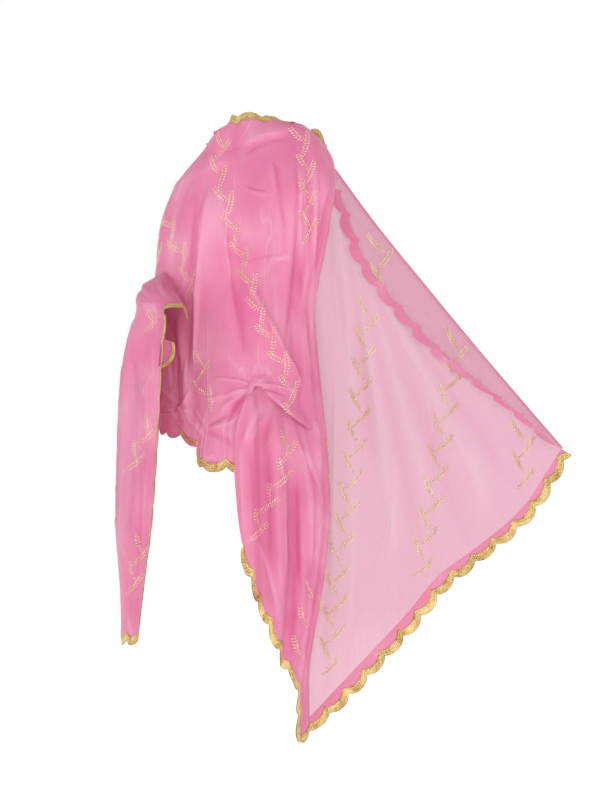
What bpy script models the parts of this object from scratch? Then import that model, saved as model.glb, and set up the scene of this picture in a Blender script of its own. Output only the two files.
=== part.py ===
"""Worn dupatta: one length of sheer organza with a scalloped border, draped over both shoulders.

The frame is the wearer's: -Y ahead, +X to the wearer's left, +Z up, in metres. The origin is between the
shoulders at the height of the neckline, where the wearer holds the cloth up.
"""

import math

import bpy
import numpy as np

WALL = 0.0012  # organza stood in for by a thin wall
BORDER_WALL = 0.0016  # border with its raised embroidery
SEAM = 0.0003  # gap between pieces
SCALLOP = 0.058  # pitch of the scallops
SCALLOP_STEPS = 4  # segments that draw one scallop
BORDER_CUSP = 0.009  # border's width where two scallops meet
BORDER_LOBE = 0.021  # border's width at the middle of a scallop
WING_TURN = math.radians(35)  # the wing and the falls lie in a frame turned to the wearer's left


def turned(across, away, height):
    """A point from the turned frame: across to the wing's tip, away from the side that it faces, and up."""
    x = across * math.cos(WING_TURN) - away * math.sin(WING_TURN)
    y = across * math.sin(WING_TURN) + away * math.cos(WING_TURN)
    return np.array((x, y, height))


def column(table, name):
    """One named column of a table whose first row holds the names."""
    return np.array([row[table[0].index(name)] for row in table[1:]], float)


def smooth(x, xs, ys):
    """Smooth curve through a table's points, with no overshoot between them."""
    order = np.argsort(xs)
    xs, ys = np.asarray(xs, float)[order], np.asarray(ys, float)[order]
    x = min(max(x, xs[0]), xs[-1])
    step = np.diff(xs)
    slope = np.diff(ys) / step
    tangent = np.zeros(len(xs))
    tangent[0], tangent[-1] = slope[0], slope[-1]
    for k in range(1, len(xs) - 1):
        if slope[k - 1] * slope[k] > 0:
            weight_a = 2 * step[k] + step[k - 1]
            weight_b = step[k] + 2 * step[k - 1]
            tangent[k] = (weight_a + weight_b) / (weight_a / slope[k - 1] + weight_b / slope[k])
    k = min(int(np.searchsorted(xs, x, side="right")) - 1, len(xs) - 2)
    k = max(k, 0)
    t = (x - xs[k]) / step[k]
    rise = (2 * t**3 - 3 * t**2 + 1) * ys[k] + (3 * t**2 - 2 * t**3) * ys[k + 1]
    lean = (t**3 - 2 * t**2 + t) * tangent[k] + (t**3 - t**2) * tangent[k + 1]
    return float(rise + step[k] * lean)


def follow(table, x, key, *names):
    """The named columns of a table, read at x of its key column."""
    keys = column(table, key)
    return [smooth(x, keys, column(table, name)) for name in names]


def mix(a, b, t):
    return a + (b - a) * t


def ease(t):
    t = min(max(t, 0.0), 1.0)
    return t * t * (3 - 2 * t)


def spline(points, count):
    """Evenly spaced points on a Catmull-Rom curve through a few points."""
    points = np.asarray(points, float)
    ends = np.vstack((2 * points[0] - points[1], points, 2 * points[-1] - points[-2]))
    fine = []
    for k in range(len(points) - 1):
        a, b, c, d = ends[k : k + 4]
        for t in np.linspace(0, 1, 12, endpoint=False):
            square = t * t
            cube = square * t
            fine.append(0.5 * (2 * b + (c - a) * t + (2 * a - 5 * b + 4 * c - d) * square
                               + (3 * b - a - 3 * c + d) * cube))
    fine.append(points[-1])
    fine = np.array(fine)
    length = np.concatenate(([0], np.cumsum(np.linalg.norm(np.diff(fine, axis=0), axis=1))))
    even = np.linspace(0, length[-1], count)
    return np.stack([np.interp(even, length, fine[:, i]) for i in range(fine.shape[1])], axis=1)


def coons(near, far, left, right, s, t):
    """A patch between four edges: near and far run along s, left and right along t."""
    sides = mix(left(t), right(t), s)
    ends = mix(near(s), far(s), t)
    corners = mix(mix(left(0), right(0), s), mix(left(1), right(1), s), t)
    return sides + ends - corners


def grid_normals(grid):
    """Unit normals of a grid of points."""
    along = np.gradient(grid, axis=0)
    across = np.gradient(grid, axis=1)
    normals = np.cross(along, across)
    return normals / np.maximum(np.linalg.norm(normals, axis=2, keepdims=True), 1e-12)


def material(name, colour, roughness):
    made = bpy.data.materials.new(name)
    made.use_nodes = True
    shader = made.node_tree.nodes["Principled BSDF"]
    shader.inputs["Base Color"].default_value = (*colour, 1)
    shader.inputs["Roughness"].default_value = roughness
    shader.inputs["Metallic"].default_value = 0
    return made


def wall(name, grid, thickness, finish):
    """A closed wall of even thickness about a grid of points."""
    grid = np.asarray(grid, float)
    rows, cols = grid.shape[:2]
    half = grid_normals(grid) * thickness / 2
    verts = np.vstack(((grid + half).reshape(-1, 3), (grid - half).reshape(-1, 3)))
    back = rows * cols
    faces = []
    for i in range(rows - 1):
        for j in range(cols - 1):
            a = i * cols + j
            quad = (a, a + cols, a + cols + 1, a + 1)
            faces.append(quad)
            faces.append(tuple(back + k for k in reversed(quad)))
    rim = list(range(cols))
    rim += [i * cols + cols - 1 for i in range(1, rows)]
    rim += [(rows - 1) * cols + j for j in range(cols - 2, -1, -1)]
    rim += [i * cols for i in range(rows - 2, 0, -1)]
    for a, b in zip(rim, rim[1:] + rim[:1]):
        faces.append((a, b, back + b, back + a))
    mesh = bpy.data.meshes.new(name)
    mesh.from_pydata(verts.tolist(), [], faces)
    mesh.update()
    mesh.materials.append(finish)
    for polygon in mesh.polygons:
        polygon.use_smooth = True
    mesh.set_sharp_from_angle(angle=math.radians(50))
    made = bpy.data.objects.new(name, mesh)
    bpy.context.scene.collection.objects.link(made)
    return made


def scallop_width(distance):
    """The border's width at a distance along the edge: round lobes that meet in cusps."""
    f = distance / SCALLOP % 1
    return BORDER_CUSP + (BORDER_LOBE - BORDER_CUSP) * (1 - abs(2 * f - 1) ** 2.4)


def border(name, edge, inner, finish, lean=(0, 0, 0), scale=1):
    """A scalloped strip beyond a panel's edge, in line with the panel there unless it leans."""
    edge = np.asarray(edge, float)
    outward = edge - np.asarray(inner, float)
    outward /= np.linalg.norm(outward, axis=1, keepdims=True)
    outward = outward + np.asarray(lean)
    outward /= np.linalg.norm(outward, axis=1, keepdims=True)
    length = np.concatenate(([0], np.cumsum(np.linalg.norm(np.diff(edge, axis=0), axis=1))))
    even = [0.0]
    for low, high in zip(length, length[1:]):
        parts = math.ceil((high - low) / SCALLOP * SCALLOP_STEPS - 0.3)
        even += list(np.linspace(low, high, max(parts, 1) + 1)[1:])
    points = np.stack([np.interp(even, length, edge[:, i]) for i in range(3)], axis=1)
    ways = np.stack([np.interp(even, length, outward[:, i]) for i in range(3)], axis=1)
    ways /= np.linalg.norm(ways, axis=1, keepdims=True)
    start = points + ways * 2 * SEAM
    end = start + ways * np.array([[scallop_width(d) * scale] for d in even])
    return wall(name, np.stack((start, end), axis=1), BORDER_WALL, finish)


for old in list(bpy.data.objects):
    bpy.data.objects.remove(old)

organza = material("organza", (0.83, 0.24, 0.40), 0.55)
doubled = material("doubled organza", (0.80, 0.20, 0.36), 0.6)
gold = material("gold embroidery", (0.70, 0.50, 0.14), 0.4)


# The cape: what lies round the body and the arms. Bearings are in degrees round the wearer, 0 straight
# ahead and + to the left. A column of cloth starts at the neckline, runs over the shoulder and then hangs.

NECKLINE = (
    ("bearing", "radius", "height", "slope_radius", "slope_height"),
    (-150, 0.155, -0.190, 0.168, -0.215),
    (-125, 0.125, -0.095, 0.150, -0.135),
    (-90, 0.085, -0.047, 0.138, -0.093),
    (-60, 0.075, -0.046, 0.122, -0.101),
    (-30, 0.074, -0.036, 0.099, -0.090),
    (0, 0.075, -0.016, 0.092, -0.070),
    (30, 0.075, -0.006, 0.095, -0.062),
    (60, 0.090, -0.004, 0.122, -0.048),
    (75, 0.115, -0.007, 0.150, -0.036),
    (90, 0.150, -0.012, 0.188, -0.045),
    (105, 0.177, -0.044, 0.202, -0.080),
    (120, 0.182, -0.074, 0.197, -0.106),
)
BODY = (
    ("height", "right", "left", "front", "back"),
    (-0.140, 0.170, 0.220, 0.106, 0.140),
    (-0.200, 0.196, 0.205, 0.123, 0.140),
    (-0.255, 0.207, 0.193, 0.130, 0.140),
    (-0.310, 0.213, 0.178, 0.130, 0.140),
    (-0.364, 0.226, 0.164, 0.128, 0.140),
    (-0.420, 0.214, 0.157, 0.127, 0.140),
    (-0.560, 0.200, 0.172, 0.130, 0.140),
    (-0.700, 0.198, 0.192, 0.140, 0.140),
    (-0.840, 0.198, 0.199, 0.142, 0.140),
    (-0.970, 0.198, 0.184, 0.142, 0.140),
    (-1.035, 0.198, 0.172, 0.142, 0.140),
    (-1.208, 0.198, 0.145, 0.142, 0.140),
    (-1.340, 0.198, 0.148, 0.142, 0.140),
)
CAPE_FOLDS = (  # ridges are +, troughs -; each runs from its upper to its lower end
    ("top_bearing", "top_height", "low_bearing", "low_height", "half_width", "depth"),
    (-5, -0.150, -19, -0.520, 4.0, 0.0070),
    (-14, -0.160, -27, -0.560, 4.5, -0.0070),
    (30, -0.160, 31, -0.500, 5.0, -0.0060),
    (42, -0.200, 45, -0.440, 5.0, 0.0050),
    (60, -0.180, 63, -0.400, 5.0, -0.0070),
    (36, -0.330, 82, -0.570, 5.0, 0.0110),
    (70, -0.130, 71, -0.430, 4.5, 0.0060),
    (80, -0.080, 81, -0.640, 4.5, -0.0080),
    (88, -0.090, 93, -1.250, 4.0, 0.0080),
    (98, -0.100, 101, -1.250, 4.0, -0.0090),
    (108, -0.120, 109, -1.250, 4.5, 0.0070),
    (-44, -0.110, -42, -0.330, 6.0, -0.0060),
    (-62, -0.130, -64, -0.340, 5.0, 0.0060),
    (-36, -0.420, -20, -0.640, 5.0, 0.0080),
    (-50, -0.420, -34, -0.660, 5.0, -0.0080),
    (-64, -0.420, -54, -0.650, 5.0, 0.0070),
    (-78, -0.400, -72, -0.620, 5.0, -0.0060),
)


def body_radius(bearing, height):
    right, left, front, back = follow(BODY, height, "height", "right", "left", "front", "back")
    angle = math.radians(bearing)
    side = left if bearing > 0 else right
    depth = front if abs(bearing) < 90 else back
    return 1 / math.hypot(math.sin(angle) / side, math.cos(angle) / depth)


def cape_fold(bearing, height):
    """How far the folds push the cloth out or in at a place."""
    total = 0.0
    for row in CAPE_FOLDS[1:]:
        top_bearing, top_height, low_bearing, low_height, half_width, depth = row
        t = (top_height - height) / (top_height - low_height)
        if -0.15 < t < 1.15:
            middle = mix(top_bearing, low_bearing, min(max(t, 0), 1))
            fade = ease((t + 0.15) / 0.4) * ease((1.15 - t) / 0.4)
            total += depth * fade * math.exp(-(((bearing - middle) / half_width) ** 2))
    return total


def polar(bearing, radius, height):
    angle = math.radians(bearing)
    return np.array((radius * math.sin(angle), -radius * math.cos(angle), height))


def cape_point(bearing, height, out=0.0):
    """The cloth's middle surface where it hangs, below the shoulders."""
    radius = body_radius(bearing, height) + cape_fold(bearing, height) + out
    return polar(bearing, radius, height)


def cape_column(bearing, low, count):
    """Points down one column of cloth, from the neckline over the shoulder to its lower edge."""
    radius, height, slope_radius, slope_height = follow(
        NECKLINE, bearing, "bearing", "radius", "height", "slope_radius", "slope_height")
    levels = [z for z in column(BODY, "height") if z < slope_height - 0.03 and z > low + 0.02]
    path = [(radius, height), (slope_radius, slope_height)]
    path += [(body_radius(bearing, z), z) for z in levels]
    path.append((body_radius(bearing, low), low))
    path = spline(path, count)
    points = []
    for radius, height in path:
        points.append(polar(bearing, radius + cape_fold(bearing, height), height))
    return points


FRONT_HEM = (
    ("bearing", "height"),
    (-96, -0.400),
    (-84, -0.500),
    (-72, -0.620),
    (-58, -0.664),
    (-42, -0.672),
    (-30, -0.674),
    (-17, -0.682),
    (-8, -0.692),
    (-5, -0.722),
    (3, -0.730),
    (12, -0.728),
    (31, -0.730),
    (34, -0.724),
    (37, -0.660),
    (40, -0.596),
    (44, -0.568),
    (56, -0.592),
    (66, -0.620),
    (75, -0.645),
    (87, -0.664),
    (120, -0.680),
)
DRAPE_RIGHT = -96  # bearings between which the front drape lies
DRAPE_LEFT = 119
KNOT = 44  # bearing of the knot at the left hip, where the fall comes out from under the drape
DRAPE_ROWS = 19
DRAPE_COLUMNS = 55


def front_hem(bearing):
    return follow(FRONT_HEM, bearing, "bearing", "height")[0]


def hem_roll(bearing, height):
    """Left of the knot, the drape's own edge rolls outwards over the fall."""
    near = ease((front_hem(bearing) + 0.05 - height) / 0.05)
    return 0.007 * near * ease((bearing - KNOT + 3) / 8) * (1 - ease((bearing - 80) / 8))


drape_bearings = np.linspace(DRAPE_RIGHT, DRAPE_LEFT, DRAPE_COLUMNS)
drape = np.array([cape_column(b, front_hem(b), DRAPE_ROWS) for b in drape_bearings])
for j, bearing in enumerate(drape_bearings):
    for i in range(DRAPE_ROWS):
        radial = drape[j, i] * (1, 1, 0)
        radial /= np.linalg.norm(radial)
        drape[j, i] += radial * hem_roll(bearing, drape[j, i, 2])
wall("front_drape", drape, WALL, organza)

neck_lean = []
for bearing in drape_bearings:
    inward = 1.6 * (1 - ease((bearing - 2) / 14)) + 0.15
    neck_lean.append(polar(bearing, -inward, -0.5 * (inward - 0.15)))
border("neck_border", drape[:, 0], drape[:, 1], gold, lean=neck_lean)
hem_columns = [j for j, b in enumerate(drape_bearings) if -76 < b < 33]
border("front_hem_border", drape[hem_columns, -1], drape[hem_columns, -2], gold)

BACK_LOW = (
    ("bearing", "height"),
    (-150, -0.330),
    (-125, -0.370),
    (-96, -0.400),
)
BACK_COLUMNS = 10
BACK_ROWS = 9
back_bearings = np.linspace(-150, DRAPE_RIGHT - 0.25, BACK_COLUMNS)
right_back = np.array([cape_column(b, follow(BACK_LOW, b, "bearing", "height")[0], BACK_ROWS)
                       for b in back_bearings])
wall("right_back", right_back, WALL, organza)
border("back_border", right_back[:, 0], right_back[:, 1], gold)


# The left fall: gathered below the knot, over the left hip, down to the cloth's lower corner.

LEFT_EDGE = (  # where its long edge hangs, without the border
    ("height", "across"),
    (-0.578, 0.026),
    (-0.610, 0.004),
    (-0.680, -0.013),
    (-0.745, -0.014),
    (-0.820, -0.009),
    (-0.895, 0.001),
    (-0.927, 0.012),
    (-0.968, 0.028),
    (-1.009, 0.040),
    (-1.041, 0.058),
    (-1.100, 0.079),
    (-1.156, 0.104),
    (-1.219, 0.127),
    (-1.320, 0.130),
)
FALL_LAP = (  # how far the fall reaches up behind the drape's lower edge
    ("bearing", "lap"),
    (42, -0.0080),
    (51, -0.0060),
    (56, 0.0120),
    (71, 0.0120),
    (77, -0.0012),
    (120, -0.0012),
)
FALL_LOW = -1.320
FALL_PLEATS = (
    ("bearing", "low_bearing", "half_width", "depth"),
    (40, 47, 4.5, 0.0080),
    (49, 56, 4.0, -0.0080),
    (59, 66, 4.5, 0.0090),
    (69, 75, 4.0, -0.0090),
    (78, 83, 4.0, 0.0070),
)
FALL_ROWS = 20
FALL_COLUMNS = 30


def bearing_at(across, height, out):
    """The bearing where the cape, moved out a little, lies at a place across the turned frame."""
    bearing = 60.0
    for _ in range(12):
        radius = body_radius(bearing, height) + out
        lean = math.asin(min(max(across / radius, -1), 1))
        bearing = mix(bearing, math.degrees(lean + WING_TURN), 0.7)
    return bearing


def fall_top(bearing):
    return front_hem(bearing) + follow(FALL_LAP, bearing, "bearing", "lap")[0]


def left_fall_point(s, t):
    """s runs from the long edge to the fold behind the arm, t from the top to the bottom."""
    top = fall_top(mix(KNOT - 2, DRAPE_LEFT, s))
    height = mix(top, FALL_LOW, t)
    edge = bearing_at(follow(LEFT_EDGE, height, "height", "across")[0], height, 0.007)
    bearing = mix(edge, DRAPE_LEFT, s)
    in_front = 1 - ease((bearing - KNOT + 1) / 6)
    below = ease((front_hem(bearing) - height) / 0.08)
    behind = 0.0065 * (1 - below) * (1 - ease((bearing - 82) / 6))
    out = mix(-behind, 0.0085, in_front) + cape_fold(bearing, height)
    depth = 0.0
    for low_bearing, high_bearing, half_width, push in FALL_PLEATS[1:]:
        middle = mix(low_bearing, high_bearing, t)
        depth += push * math.exp(-(((bearing - middle) / half_width) ** 2))
    depth *= ease((top - height) / 0.10)
    return polar(bearing, body_radius(bearing, height) + out + depth, height)


left_fall = np.array([[left_fall_point(s, t) for t in np.linspace(0, 1, FALL_ROWS)]
                      for s in np.linspace(0, 1, FALL_COLUMNS)])
wall("left_fall", left_fall, WALL, organza)
left_gold = [i for i in range(FALL_ROWS) if left_fall[0, i, 2] < -0.90]
border("left_fall_border", left_fall[0, left_gold], left_fall[1, left_gold], gold)


# The wing: one layer spread behind the left arm, with its upper edge folded over to the front.

WING_FOLD = (
    ("t", "across", "height"),
    (0.00, 0.180, -0.078),
    (0.20, 0.280, -0.214),
    (0.40, 0.386, -0.345),
    (0.60, 0.496, -0.478),
    (0.80, 0.600, -0.600),
    (1.00, 0.692, -0.706),
)
WING_LEFT = (
    ("t", "across", "height"),
    (0.00, 0.172, -0.084),
    (0.06, 0.160, -0.160),
    (0.14, 0.142, -0.260),
    (0.25, 0.122, -0.400),
    (0.40, 0.130, -0.590),
    (0.60, 0.146, -0.840),
    (0.80, 0.136, -1.080),
    (1.00, 0.118, -1.305),
)
WING_END = (
    ("s", "across", "height"),
    (0.00, 0.118, -1.305),
    (0.22, 0.240, -1.182),
    (0.42, 0.350, -1.065),
    (0.58, 0.424, -0.980),
    (0.70, 0.500, -0.920),
    (0.85, 0.600, -0.828),
    (1.00, 0.692, -0.706),
)
WING_AWAY = 0.004  # the wing's mean plane
WING_ROWS = 20
WING_COLUMNS = 20
FLAP_TURN = 0.004  # radius of the turn at the fold
BAND_WIDTH = 0.019


def in_plane(table, x, key):
    return np.array(follow(table, x, key, "across", "height"))


def wing_top(s):
    return mix(wing_left(0), wing_fold(0), s)


def wing_low(s):
    return in_plane(WING_END, s, "s")


def wing_left(t):
    return in_plane(WING_LEFT, t, "t")


def wing_fold(t):
    return in_plane(WING_FOLD, t, "t")


def wing_away(s, t):
    """The wing's soft folds, which run out from the shoulder, and its slow curve back at the tip."""
    ripple = math.sin(s * 6.2 * math.pi + 0.6) * (1 - 0.55 * s) + 0.5 * math.sin(s * 15 + 2 * t)
    fan = math.sin(math.pi * min(s, 0.98)) ** 0.6
    return WING_AWAY + 0.020 * s * t + 0.007 * ripple * fan * ease(t / 0.35)


def wing_point(s, t):
    across, height = coons(wing_top, wing_low, wing_left, wing_fold, s, t)
    return turned(across, wing_away(s, t), height)


wing = np.array([[wing_point(s, t) for t in np.linspace(0, 1, WING_ROWS)]
                 for s in np.linspace(0, 1, WING_COLUMNS)])
wall("wing", wing, WALL, organza)

FLAP_EDGE = (
    ("t", "across", "height"),
    (0.00, 0.190, -0.100),
    (0.10, 0.206, -0.140),
    (0.20, 0.232, -0.215),
    (0.30, 0.262, -0.292),
    (0.40, 0.310, -0.362),
    (0.50, 0.368, -0.430),
    (0.60, 0.430, -0.494),
    (0.70, 0.492, -0.545),
    (0.80, 0.555, -0.594),
    (0.90, 0.625, -0.650),
    (1.00, 0.682, -0.702),
)
FLAP_START = 0.03
FLAP_LEAN = 0.004  # how far the flap's edge stands off to the front
FLAP_ALONG = 26


def flap_section(t):
    """From the wing's fold, round a half turn to the front, then down to the flap's edge."""
    fold = wing_fold(t)
    edge = in_plane(FLAP_EDGE, t, "t")
    along = wing_fold(min(t + 0.02, 1)) - wing_fold(t - 0.02)
    along /= np.linalg.norm(along)
    outward = np.array((-along[1], along[0]))
    back = wing_away(1, t)
    turns = []
    for angle in np.linspace(0, math.pi, 5):
        place = fold + outward * (FLAP_TURN * math.sin(angle) + WALL / 4 + SEAM)
        turns.append(turned(place[0], back - FLAP_TURN * (1 - math.cos(angle)), place[1]))
    front = back - 2 * FLAP_TURN
    start = fold + outward * (WALL / 4 + SEAM)
    flat = []
    for f in (0.3, 0.6, 1.0):
        place = mix(start, edge, f)
        flat.append(turned(place[0], front - FLAP_LEAN * f, place[1]))
    return turns + flat


flap = np.array([flap_section(t) for t in np.linspace(FLAP_START, 1, FLAP_ALONG)])
wall("wing_flap", flap, WALL, organza)
FLAP_BORDER_FROM = 4
border("flap_border", flap[FLAP_BORDER_FROM:, -1], flap[FLAP_BORDER_FROM:, -2], doubled)

end_edge = wing[:, -1]
end_inner = wing[:, -2]
end_way = end_edge - end_inner
end_way /= np.linalg.norm(end_way, axis=1, keepdims=True)
band_start = end_edge + end_way * 2 * SEAM
band_end = end_edge + end_way * BAND_WIDTH
wall("end_band", np.stack((band_start, band_end), axis=1), BORDER_WALL, doubled)
border("wing_end_border", band_end, end_inner, gold)


# Behind the left arm the cloth turns back on itself between the cape and the wing.

BACK_FOLD_TOP = -0.115
BACK_FOLD_LOW = -1.290
BACK_FOLD_ROWS = 20
BACK_FOLD_COLUMNS = 8
BACK_FOLD_PATH = (  # share of the way from cape to wing, shares of its length back across, and metres away
    ("share", "back", "lean"),
    (0.45, 0.25, -0.001),
    (0.75, 0.45, -0.001),
    (0.97, 0.30, 0.001),
)


def wing_left_place(height):
    heights = column(WING_LEFT, "height")
    t = smooth(height, heights, column(WING_LEFT, "t"))
    return wing_point(0, t)


def cape_end(height, column_index):
    """A column of the cape near its left end, of the drape above and of the fall below."""
    rows = drape[column_index] if height > fall_top(DRAPE_LEFT) else left_fall[column_index]
    order = np.argsort(rows[:, 2])
    return np.array([np.interp(height, rows[order, 2], rows[order, i]) for i in range(3)])


def back_fold_section(height):
    start = cape_end(height, -1)
    end = wing_left_place(height)
    across = turned(1, 0, 0)
    away = turned(0, 1, 0)
    leg = np.linalg.norm(end - start)
    onward = start - cape_end(height, -2)
    first = start + onward / np.linalg.norm(onward) * 3 * SEAM
    last = end - across * 3 * SEAM
    path = [first]
    for share, back, lean in BACK_FOLD_PATH[1:]:
        path.append(mix(first, last, share) - across * back * leg + away * lean)
    path.append(last)
    return spline(path, BACK_FOLD_COLUMNS)


back_fold = np.array([back_fold_section(z)
                      for z in np.linspace(BACK_FOLD_TOP, BACK_FOLD_LOW, BACK_FOLD_ROWS)])
wall("back_fold", back_fold, WALL, organza)


# The right fall: the free end, which hangs from the forearm in three layers.

FALL_SIDES = (
    ("height", "edge", "outline", "near", "far"),
    (-0.415, -0.162, -0.216, -0.150, 0.080),
    (-0.450, -0.168, -0.237, -0.152, 0.095),
    (-0.500, -0.174, -0.252, -0.152, 0.105),
    (-0.560, -0.178, -0.264, -0.150, 0.110),
    (-0.710, -0.186, -0.271, -0.145, 0.110),
    (-0.862, -0.196, -0.275, -0.140, 0.100),
    (-0.950, -0.204, -0.269, -0.135, 0.090),
    (-1.013, -0.210, -0.264, -0.130, 0.080),
    (-1.105, -0.222, -0.261, -0.120, 0.060),
)
LAYERS = (  # where the layers run: from the near edge to the far turn, back to the near turn, and away
    ("inward", "depth"),
    (0.00, 0.00),
    (0.05, 0.07),
    (0.36, 0.17),
    (0.80, 0.33),
    (1.00, 0.58),
    (0.90, 0.86),
    (0.70, 1.00),
    (0.52, 0.88),
    (0.66, 0.62),
    (0.52, 0.42),
    (0.32, 0.29),
    (0.16, 0.28),
    (0.16, 0.44),
    (0.30, 0.64),
    (0.26, 0.84),
)
RIGHT_ROWS = 14
RIGHT_COLUMNS = 38
RIGHT_LOW = -1.105
RIPPLE = 0.0022


def right_top(u):
    """The fall's upper edge rises from the wrist to the elbow, and its inner layers start lower."""
    return -0.420 + 0.030 * ease(u / 0.3) - 0.065 * ease((u - 0.38) / 0.15)


def layer_path(height):
    edge, outline, near, far = follow(FALL_SIDES, height, "height", "edge", "outline", "near", "far")
    inward = column(LAYERS, "inward")
    depth = column(LAYERS, "depth")
    return spline(np.stack((mix(edge, outline, inward), mix(near, far, depth)), axis=1), RIGHT_COLUMNS)


def right_fall_column(j):
    u = j / (RIGHT_COLUMNS - 1)
    points = []
    for height in np.linspace(right_top(u), RIGHT_LOW - 0.012 * math.sin(u * 9), RIGHT_ROWS):
        path = layer_path(height)
        way = np.gradient(path, axis=0)[j]
        way /= np.linalg.norm(way)
        push = RIPPLE * math.sin(u * 60) * ease((right_top(u) - height) / 0.15)
        across, away = path[j] + push * np.array((way[1], -way[0]))
        points.append(turned(across, away, height))
    return points


right_fall = np.array([right_fall_column(j) for j in range(RIGHT_COLUMNS)])
wall("right_fall", right_fall, WALL, organza)
border("right_end_border", right_fall[:, -1], right_fall[:, -2], gold)
border("right_fall_border", right_fall[0, 1:], right_fall[1, 1:], gold)


# The cloth over the right forearm, open at the wrist.

WRIST = (
    ("s", "across", "away", "height"),
    (0.0, -0.162, -0.150, -0.420),
    (0.2, -0.163, -0.152, -0.405),
    (0.5, -0.147, -0.155, -0.396),
    (0.8, -0.124, -0.155, -0.402),
    (1.0, -0.113, -0.152, -0.424),
)
WRAP_COLUMNS = 12
WRAP_ROWS = 8
LEG_TOP = 12  # columns of the right fall whose top the wrap's outer edge follows
ELBOW = (
    ("s", "bearing", "height"),
    (0.0, -80, -0.388),
    (0.5, -55, -0.322),
    (1.0, -26, -0.400),
)
ELBOW_GAP = 0.0024  # how far the wrap's end stands off the drape's middle surface


def wrist(s):
    return turned(*follow(WRIST, s, "s", "across", "away", "height"))


def elbow(s):
    bearing, height = follow(ELBOW, s, "s", "bearing", "height")
    return cape_point(bearing, height, out=ELBOW_GAP)


outer_edge = right_fall[: LEG_TOP + 1, 0] + (0, 0, 2 * SEAM)
outer_edge = np.vstack((wrist(0), outer_edge[1:], elbow(0)))
outer_line = spline(outer_edge, WRAP_ROWS + 1)


def wrap_outer(t):
    return outer_line[round(t * WRAP_ROWS)]


def wrap_inner(t):
    return mix(wrist(1), elbow(1), t) + (0, 0, 0.004 * math.sin(math.pi * t))


wrap = np.array([[coons(wrist, elbow, wrap_outer, wrap_inner, s, t)
                  for t in np.linspace(0, 1, WRAP_ROWS + 1)]
                 for s in np.linspace(0, 1, WRAP_COLUMNS)])
wall("forearm_wrap", wrap, WALL, organza)
border("wrist_border", wrap[:, 0], wrap[:, 1], gold, lean=(0, 0, -0.6))


# Under the hand the cloth's corner is turned out, with its border.

HAND_FLAP_INNER = (
    ("t", "across", "height"),
    (0.0, -0.1680, -0.470),
    (0.5, -0.1715, -0.500),
    (1.0, -0.1745, -0.528),
)
HAND_FLAP_OUTER = (
    ("t", "across", "height"),
    (0.0, -0.1450, -0.478),
    (0.5, -0.1520, -0.508),
    (1.0, -0.1690, -0.531),
)
HAND_FLAP_AWAY = -0.146
HAND_FLAP_CELLS = 6


def hand_flap_point(s, t):
    across, height = mix(in_plane(HAND_FLAP_INNER, t, "t"), in_plane(HAND_FLAP_OUTER, t, "t"), s)
    return turned(across, HAND_FLAP_AWAY + 0.010 * s + 0.004 * math.sin(math.pi * s), height)


steps = np.linspace(0, 1, HAND_FLAP_CELLS)
hand_flap = np.array([[hand_flap_point(s, t) for t in steps] for s in steps])
wall("hand_flap", hand_flap, WALL, organza)
border("hand_flap_border", hand_flap[-1], hand_flap[-2], gold, scale=0.45)
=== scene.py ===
"""Looks of a worn dupatta: one length of sheer pink organza with a gold scalloped border and leafy vines."""

import math

import bpy
import numpy as np
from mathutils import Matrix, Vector
from mathutils.bvhtree import BVHTree


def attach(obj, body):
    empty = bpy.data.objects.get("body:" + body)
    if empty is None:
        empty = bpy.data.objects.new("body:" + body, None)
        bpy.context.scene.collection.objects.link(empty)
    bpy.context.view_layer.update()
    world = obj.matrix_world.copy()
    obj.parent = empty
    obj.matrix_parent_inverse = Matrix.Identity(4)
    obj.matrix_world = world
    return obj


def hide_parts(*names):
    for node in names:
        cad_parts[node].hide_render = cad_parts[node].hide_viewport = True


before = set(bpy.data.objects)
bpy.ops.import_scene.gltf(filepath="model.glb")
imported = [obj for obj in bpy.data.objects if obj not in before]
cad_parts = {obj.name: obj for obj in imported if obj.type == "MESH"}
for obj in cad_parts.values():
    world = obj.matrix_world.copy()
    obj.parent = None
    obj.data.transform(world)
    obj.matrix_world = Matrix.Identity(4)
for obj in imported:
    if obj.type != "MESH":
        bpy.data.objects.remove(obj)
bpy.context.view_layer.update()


# Front drape. Polyester organza, a crisp sheer cloth of fine hard-twisted filament, dyed pink in the
# piece. It goes round both shoulders and hangs in front, where two layers of it lie on each other. The
# cloth is held by nothing but its own weight and the left hip, where it is tucked up into a knot.

TURN = math.radians(35)  # the free side faces 35 degrees to the wearer's left
EYE_ACROSS = 0.1234  # where the free side is looked at from, 5 m in front of it
EYE_AWAY = -5.0
EYE_HEIGHT = -0.600

ORGANZA = "#E382A6"
ORGANZA_DEEP = "#DB6A98"
ORGANZA_PALE = "#EC9CBA"
ORGANZA_THIN = "#D97BA2"  # one layer on its own, where light goes through instead of coming back
SHEER = 0.64  # how much one layer of organza covers
DENSE = 0.97  # how much gathered layers cover

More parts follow.
